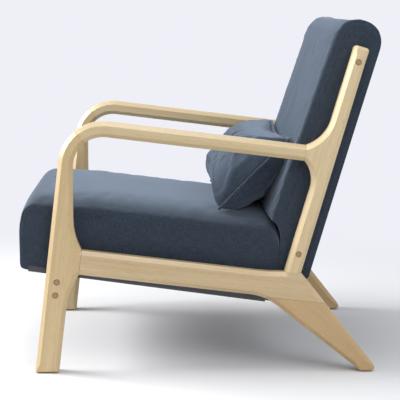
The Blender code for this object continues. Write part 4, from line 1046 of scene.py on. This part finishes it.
class LOUNGE_OT_wood(bpy.types.Operator):
    """Finish the two side frames and the front stretcher in lacquered wood"""

    bl_idname = "lounge.wood"
    bl_label = "Wooden frames"

    def execute(self, context):
        tilt = context.scene.lounge_chair.tilt
        arris = context.scene.lounge_wood.arris
        post_lean = math.radians(16.06)
        rear_slope = math.radians(45)
        upright = (0, math.sin(tilt), math.cos(tilt))
        level = (0, math.cos(tilt), -math.sin(tilt))
        # Each board's colour multiplier: the lower boards are deeper and warmer, partly their own tone and
        # partly painted shade.
        boards = {
            "front_leg": (upright, (0.82, 0.78, 0.69)),
            "arm": (level, (0.85, 0.85, 0.82)),
            "side_rail": (level, (0.79, 0.76, 0.72)),
            "back_post": ((0, math.sin(post_lean), math.cos(post_lean)), (0.92, 0.92, 0.90)),
            "rear_leg": ((0, math.cos(rear_slope), -math.sin(rear_slope)), (0.71, 0.61, 0.48)),
        }
        for number, (part, (heading, board_tone_and_shade)) in enumerate(boards.items()):
            finish = wood("lacquered_" + part, heading, seed=number * 3.7, board_tone_and_shade=board_tone_and_shade)
            for side in SIDES:
                dressed_copy(f"{side}_{part}", "lacquered", arris, 2, "chair", finish)
        finish = wood("lacquered_stretcher", heading=(1, 0, 0), seed=31.0)
        dressed_copy("front_stretcher", "lacquered", arris, 2, "chair", finish)
        return {"FINISHED"}


class LOUNGE_OT_fittings(bpy.types.Operator):
    """Finish the bolt plugs and the glides"""

    bl_idname = "lounge.fittings"
    bl_label = "Plugs and glides"

    def execute(self, context):
        rounding = 0.0011
        for side in SIDES:
            for place in ("stretcher_upper", "stretcher_lower", "back_lower", "back_upper"):
                node = f"{side}_{place}_plug"
                finish = kept("plug_end_grain", plug_wood)
                dressed_copy(node, "domed", rounding, 3, "chair", finish)
            for place in ("front", "rear"):
                node = f"{side}_{place}_glide"
                finish = kept("moulded_glide", glide_plastic)
                dressed_copy(node, "moulded", rounding / 2, 2, "chair", finish)
        return {"FINISHED"}


class LOUNGE_OT_seat(bpy.types.Operator):
    """Make the seat cushion: one panel over its top and front, and a panel at each side"""

    bl_idname = "lounge.seat"
    bl_label = "Seat cushion"

    def execute(self, context):
        seat = context.scene.lounge_seat

        def draw_in_at(point):
            share = (point.x - seat.front) / (seat.rear - seat.front)
            return math.sin(math.pi * min(max(share, 0.0), 1.0))

        def relief_at(distance, point):
            return ridge_relief(distance, point, seat.ridge, seed=1.7)

        bands = [0.0015, 0.0035, 0.0055]
        bands += [seat.ridge + further for further in (0, 0.0017, 0.0040, 0.009)]
        bm, rings, side_of, beside = cushion_form(seat_sides, draw_in_at, relief_at, bands)
        finish = kept("slate_weave", fabric)
        piece = new_piece("seat_upholstery", bm, tilted_plane(), "chair", finish)
        rear_and_base = (2, 3)
        settle_cushion(piece, rings, side_of, beside, rear_and_base, seat.swell, folds=0.0008)
        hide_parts("seat_cover", "seat_foam")
        return {"FINISHED"}


class LOUNGE_OT_back(bpy.types.Operator):
    """Make the back cushion and the panel that closes its rear"""

    bl_idname = "lounge.back"
    bl_label = "Back cushion"

    def execute(self, context):
        back = context.scene.lounge_back

        def draw_in_at(point):
            return math.sin(math.pi * min(max(point.y / back.tall, 0.0), 1.0))

        def relief_at(distance, point):
            high = min(max((point.y - back.tall + back.front_round * 2) / back.front_round, 0.0), 1.0)
            eased = 0.6 * high * sum(bell(distance - line, EASE_WIDTH) for line in EASE_LINES)
            return ridge_relief(distance, point, back.ridge, seed=4.2, eased=eased)

        bands = [0.0015, 0.0035, 0.0065, back.ridge - 0.0020, back.ridge, back.ridge + 0.0020]
        for line in EASE_LINES:
            bands += [line - 0.0018, line, line + 0.0018]
        bm, rings, side_of, beside = cushion_form(back_sides, draw_in_at, relief_at, bands)
        finish = kept("slate_weave", fabric)
        piece = new_piece("back_upholstery", bm, back_plane(), "chair", finish)
        rear_and_notch = (0, 3)
        settle_cushion(piece, rings, side_of, beside, rear_and_notch, back.swell, folds=0.0007)
        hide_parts("back_cover", "back_foam")
        self.add_panel(back)
        return {"FINISHED"}

    def add_panel(self, back):
        """The fabric panel that closes the rear, with a welt round it."""
        corner = 0.012
        cell = 0.012
        edge = 0.0002
        half = back.panel_half
        low, high = back.panel_low, back.panel_high
        ends = [(-half, low), (-half, high), (half, high), (half, low)]
        sides = outline_sides([(Vector(end), corner, True) for end in ends])
        middle = Vector((0, (low + high) / 2))
        reach = seam_reach([point for side in sides for point in side[:-1]], middle)

        def out_at(facing, point):
            share = min((point - middle).length / reach(point - middle), 1.0)
            return point.x, back.panel_dome * (1 - share**8) ** 0.5 + edge

        bm, ring = sewn_panels(sides, cell, out_at)
        seam = [vertex.co.copy() for vertex in ring]
        finish = kept("slate_weave", fabric)
        panel = new_piece("back_panel_upholstery", bm, back_plane(), "chair", finish)
        divide(panel)
        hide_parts("back_panel")
        welt = cord_mesh(seam, back.welt, True)
        new_piece("back_panel_welt", welt, back_plane(), "chair", finish)


class LOUNGE_OT_pillow(bpy.types.Operator):
    """Make the lumbar pillow with its piping"""

    bl_idname = "lounge.pillow"
    bl_label = "Lumbar pillow"

    def execute(self, context):
        pillow = context.scene.lounge_pillow
        sides = pillow_sides()
        middle = Vector((0, pillow.tall / 2))
        reach = seam_reach([point for side in sides for point in side[:-1]], middle)
        room = pillow_room()
        crisp = 0.002
        round_over = 0.005
        thinnest = 0.001

        def out_at(facing, point):
            share = min((point - middle).length / reach(point - middle), 1.0)
            depth = pillow.front_depth if facing < 0 else pillow.rear_depth
            out = depth * (1 - share**pillow.fullness) ** pillow.steepness
            out *= 1 + pillow.settle * math.cos(math.pi * point.y / pillow.tall)
            lowness = max(0.0, 1 - 4 * point.y / pillow.tall)  # 1 at the foot and 0 a quarter of the way up
            slope = pillow.pinch * (1 + pillow.foot_pinch * lowness)
            out = softly_least(out, slope * (1 - share) * reach(point - middle) + crisp, crisp)
            across = point.x
            if facing > 0:
                out = softly_least(out, room(point.y), crisp)
                across += pillow.overhang * (2 * point.x / pillow.width) ** 5 * math.sin(math.pi * share**8)
            else:
                out = softly_least(out, pillow.top_slope * (pillow.tall - point.y) + round_over, round_over)
            return across, max(out, thinnest)

        bm, ring = sewn_panels(sides, pillow.cell, out_at)
        held = [vertex.index for vertex in ring]
        seam = [vertex.co.copy() for vertex in ring]
        finish = kept("slate_weave", fabric)
        piece = new_piece("pillow_upholstery", bm, Matrix.Identity(4), "pillow", finish)
        fill_with_air(piece, held, pillow.slack, reach=0.010, rise=0.001)
        divide(piece)
        pucker(piece, [seam], height=0.0014, width=0.018)
        half = pillow.zip_length / 2
        opening = [k for k, point in enumerate(seam) if abs(point.x) < half and point.z < pillow.tall / 2]
        far_end = [seam[k] for k in opening if seam[k].x < -half / 2]
        pucker(piece, [far_end], pillow.gather, width=0.045)
        piece.data.transform(pillow_plane())
        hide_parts("pillow_cover", "pillow_fill")
        piping = cord_mesh(seam[opening[-1] + 1 :] + seam[: opening[0]], pillow.cord, False)
        new_piece("pillow_piping", piping, pillow_plane(), "pillow", finish)
        self.add_zip(pillow)
        return {"FINISHED"}

    def add_zip(self, pillow):
        """Tape and teeth along the lower seam, and the slider with its pull."""
        tape_size = (pillow.zip_length, 0.0006, 0.0048)
        tape_out = 0.0013
        tape_up = 0.0036
        tooth_size = (pillow.tooth * 0.62, 0.0026, 0.0020)
        tooth_out = 0.0005
        tooth_up = 0.0014
        tape = bmesh.new()
        for out in (-tape_out, tape_out):
            strip = Matrix.LocRotScale((0, out, tape_up), None, tape_size)
            bmesh.ops.create_cube(tape, size=1, matrix=strip)
        bmesh.ops.subdivide_edges(tape, edges=tape.edges[:], cuts=3, use_grid_fill=True)
        new_piece("zip_tape", tape, pillow_plane(), "pillow", kept("zip_tape", zip_tape))
        teeth = bmesh.new()
        count = round(pillow.zip_length / pillow.tooth)
        for k in range(count):
            out = tooth_out if k % 2 else -tooth_out
            across = (k + 0.5) * pillow.tooth - pillow.zip_length / 2
            tooth = Matrix.LocRotScale((across, out, tooth_up), None, tooth_size)
            bmesh.ops.create_cube(teeth, size=1, matrix=tooth)
        bmesh.ops.bevel(teeth, geom=teeth.edges[:], offset=0.0003, segments=1, affect="EDGES")
        metal = kept("zip_metal", zip_metal)
        new_piece("zip_teeth", teeth, pillow_plane(), "pillow", metal)
        dressed_copy("zip_slider", "cast", 0.0004, 2, "zip_slider", metal)


class LOUNGE_OT_dust_cover(bpy.types.Operator):
    """Make the black cloth that closes the underside of the seat"""

    bl_idname = "lounge.dust_cover"
    bl_label = "Dust cover"

    def execute(self, context):
        chair = context.scene.lounge_chair
        seat = context.scene.lounge_seat
        clear = 0.0006
        edge = chair.half + clear
        turn = 0.003
        columns = 72
        rows = 60
        bend = arc_points(Vector((edge - turn, turn)), turn, 0, -math.pi / 2, steps=5)
        right = [Vector((edge, seat.dust_lip)), *bend]
        section = spaced([Vector((-point.x, point.y)) for point in right] + right[::-1], columns)
        flat_length = seat.rear - seat.front - 2 * seat.dust_setback
        bm = bmesh.new()
        weave = bm.loops.layers.uv.new(WEAVE_MAP)
        grid = []
        for row in range(rows + 1):
            share = row / rows
            along = seat.front + seat.dust_setback + flat_length * share
            base = seat.base_front + (seat.base_rear - seat.base_front) * share - seat.dust_drop
            line = []
            for point in section:
                sag = seat.dust_sag * math.sin(math.pi * share) * max(0.0, 1 - (point.x / edge) ** 2)
                line.append(bm.verts.new((point.x, along, base + point.y - sag)))
            grid.append(line)
        for row, following in zip(grid, grid[1:]):
            for k in range(len(row) - 1):
                face = bm.faces.new((row[k], row[k + 1], following[k + 1], following[k]))
                for loop in face.loops:
                    loop[weave].uv = (loop.vert.co.x, loop.vert.co.y)
        finish = kept("dust_cloth", dust_cloth)
        piece = new_piece("seat_dust_sheet", bm, tilted_plane(), "chair", finish)
        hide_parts("seat_dust_cover")
        flat = (line_length(section), flat_length)
        return {"FINISHED"}


class LOUNGE_OT_inside(bpy.types.Operator):
    """Give the hidden pieces their finishes"""

    bl_idname = "lounge.inside"
    bl_label = "Inner frames"

    def execute(self, context):
        finishes = {
            "webbing": ("webbing_strap", webbing_strap),
            "tenon": ("tenon_wood", tenon_wood),
            "bolt": ("zinc_steel", steel),
        }
        for name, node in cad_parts.items():
            if node.hide_render:  # a dressed piece is in its place
                continue
            chosen = ("frame_timber", frame_timber)
            for word, finish in finishes.items():
                if word in name:
                    chosen = finish
            node.data.materials.clear()
            node.data.materials.append(kept(*chosen))
        return {"FINISHED"}


def seen_directly(nodes):
    """1 for what the camera sees, also in a mirror or through glass, and 0 for light on its way to things."""
    path = nodes.node("ShaderNodeLightPath").outputs
    seen = nodes.math("ADD", path["Is Camera Ray"], path["Is Glossy Ray"])
    return nodes.math("ADD", seen, path["Is Transmission Ray"], clamp=True)


class LOUNGE_OT_stage(bpy.types.Operator):
    """Set the floor, lights and camera"""

    bl_idname = "lounge.stage"
    bl_label = "Stage"

    def execute(self, context):
        stage = context.scene.lounge_stage
        context.scene.view_settings.view_transform = "Standard"
        self.add_floor(stage)
        self.add_world(context.scene, stage)
        self.add_light("front", (-0.3, -2.7, 1.75), size=1.8, power=stage.front)
        self.add_light("overhead", (0.7, -0.1, 3.0), size=1.2, power=stage.overhead)
        self.add_light("fill", (2.4, 1.2, 2.4), size=2.0, power=stage.fill)
        self.add_camera(context.scene, stage)
        return {"FINISHED"}

    def add_floor(self, stage):
        """A plain floor that takes the chair's shadow, and turns into the backdrop further out."""
        nodes = Nodes(bpy.data.materials.new("plain_floor"))
        nodes.finish(Base_Color=(*stage.floor, 1), Roughness=0.9)
        reach = nodes.vector("LENGTH", nodes.place())
        wanted = {"Value": reach, "From Min": stage.floor_near, "From Max": stage.floor_far}
        faded = nodes.node("ShaderNodeMapRange", wanted, interpolation_type="SMOOTHSTEP").outputs["Result"]
        glow = nodes.node("ShaderNodeEmission", {"Color": (*stage.backdrop, 1)}).outputs["Emission"]
        seen = nodes.math("MULTIPLY", faded, seen_directly(nodes))
        mixed = nodes.node("ShaderNodeMixShader", {"Fac": seen})
        nodes.tree.links.new(nodes.shader.outputs["BSDF"], mixed.inputs[1])
        nodes.tree.links.new(glow, mixed.inputs[2])
        output = nodes.tree.nodes["Material Output"]
        nodes.tree.links.new(mixed.outputs["Shader"], output.inputs["Surface"])
        half_floor = 200
        bm = bmesh.new()
        bmesh.ops.create_grid(bm, x_segments=2, y_segments=2, size=half_floor)
        mesh = bpy.data.meshes.new("floor")
        bm.to_mesh(mesh)
        bm.free()
        mesh.materials.append(nodes.owner)
        floor = bpy.data.objects.new("floor", mesh)
        bpy.context.scene.collection.objects.link(floor)

    def add_world(self, scene, stage):
        """Soft light from all round; the camera sees the backdrop's colour instead."""
        scene.world = bpy.data.worlds.new("soft surroundings")
        nodes = Nodes(scene.world)
        light = nodes.tree.nodes["Background"]
        light.inputs["Color"].default_value = (*stage.world, 1)
        light.inputs["Strength"].default_value = stage.world_strength
        backdrop = nodes.node("ShaderNodeBackground", {"Color": (*stage.backdrop, 1)})
        mixed = nodes.node("ShaderNodeMixShader", {"Fac": seen_directly(nodes)})
        nodes.tree.links.new(light.outputs["Background"], mixed.inputs[1])
        nodes.tree.links.new(backdrop.outputs["Background"], mixed.inputs[2])
        nodes.tree.links.new(mixed.outputs["Shader"], nodes.tree.nodes["World Output"].inputs["Surface"])

    def add_light(self, name, place, size, power):
        lamp = bpy.data.lights.new(name, "AREA")
        lamp.shape = "DISK"
        lamp.size = size
        lamp.energy = power
        light = bpy.data.objects.new(name, lamp)
        light.location = place
        light.rotation_euler = (LIGHT_AIM - light.location).to_track_quat("-Z", "Y").to_euler()
        bpy.context.scene.collection.objects.link(light)

    def add_camera(self, scene, stage):
        camera = bpy.data.cameras.new("photo view")
        camera.sensor_width = 36
        camera.lens = stage.lens
        camera.clip_start = 0.1
        camera.clip_end = 500
        eye = bpy.data.objects.new("photo view", camera)
        level = math.cos(stage.pitch)
        ahead = Vector((-level * math.cos(stage.turn), level * math.sin(stage.turn), -math.sin(stage.pitch)))
        right = Vector((math.sin(stage.turn), math.cos(stage.turn), 0))
        up = right.cross(ahead)
        rolled_right = right * math.cos(stage.roll) + up * math.sin(stage.roll)
        rolled_up = up * math.cos(stage.roll) - right * math.sin(stage.roll)
        turn = Matrix((rolled_right, rolled_up, -ahead)).transposed()
        eye.matrix_world = Matrix.Translation(stage.eye) @ turn.to_4x4()
        scene.collection.objects.link(eye)
        scene.camera = eye


class LOUNGE_PT_panel(bpy.types.Panel):
    """Lists the chair's pieces in the sidebar"""

    bl_idname = "LOUNGE_PT_panel"
    bl_label = "Lounge Chair"
    bl_space_type = "VIEW_3D"
    bl_region_type = "UI"
    bl_category = "Lounge Chair"

    def draw(self, context):
        for operator in OPERATORS:
            self.layout.operator(operator.bl_idname)
        for name in SETTINGS:
            group = getattr(context.scene, name)
            box = self.layout.box()
            for key in group.__annotations__:
                box.prop(group, key)


OPERATORS = (
    LOUNGE_OT_wood,
    LOUNGE_OT_fittings,
    LOUNGE_OT_seat,
    LOUNGE_OT_back,
    LOUNGE_OT_pillow,
    LOUNGE_OT_dust_cover,
    LOUNGE_OT_inside,
    LOUNGE_OT_stage,
)
SETTINGS = {
    "lounge_fabric": FabricSettings,
    "lounge_wood": WoodSettings,
    "lounge_chair": ChairSettings,
    "lounge_seat": SeatSettings,
    "lounge_back": BackSettings,
    "lounge_pillow": PillowSettings,
    "lounge_stage": StageSettings,
}


def register():
    for cls in (*SETTINGS.values(), *OPERATORS, LOUNGE_PT_panel):
        bpy.utils.register_class(cls)
    for name, cls in SETTINGS.items():
        setattr(bpy.types.Scene, name, PointerProperty(type=cls))


def unregister():
    for name in SETTINGS:
        delattr(bpy.types.Scene, name)
    for cls in reversed((*SETTINGS.values(), *OPERATORS, LOUNGE_PT_panel)):
        bpy.utils.unregister_class(cls)


def main():
    register()
    bpy.ops.lounge.wood()
    bpy.ops.lounge.fittings()
    bpy.ops.lounge.seat()
    bpy.ops.lounge.back()
    bpy.ops.lounge.pillow()
    bpy.ops.lounge.dust_cover()
    bpy.ops.lounge.inside()
    bpy.ops.lounge.stage()


if __name__ == "__main__":
    main()
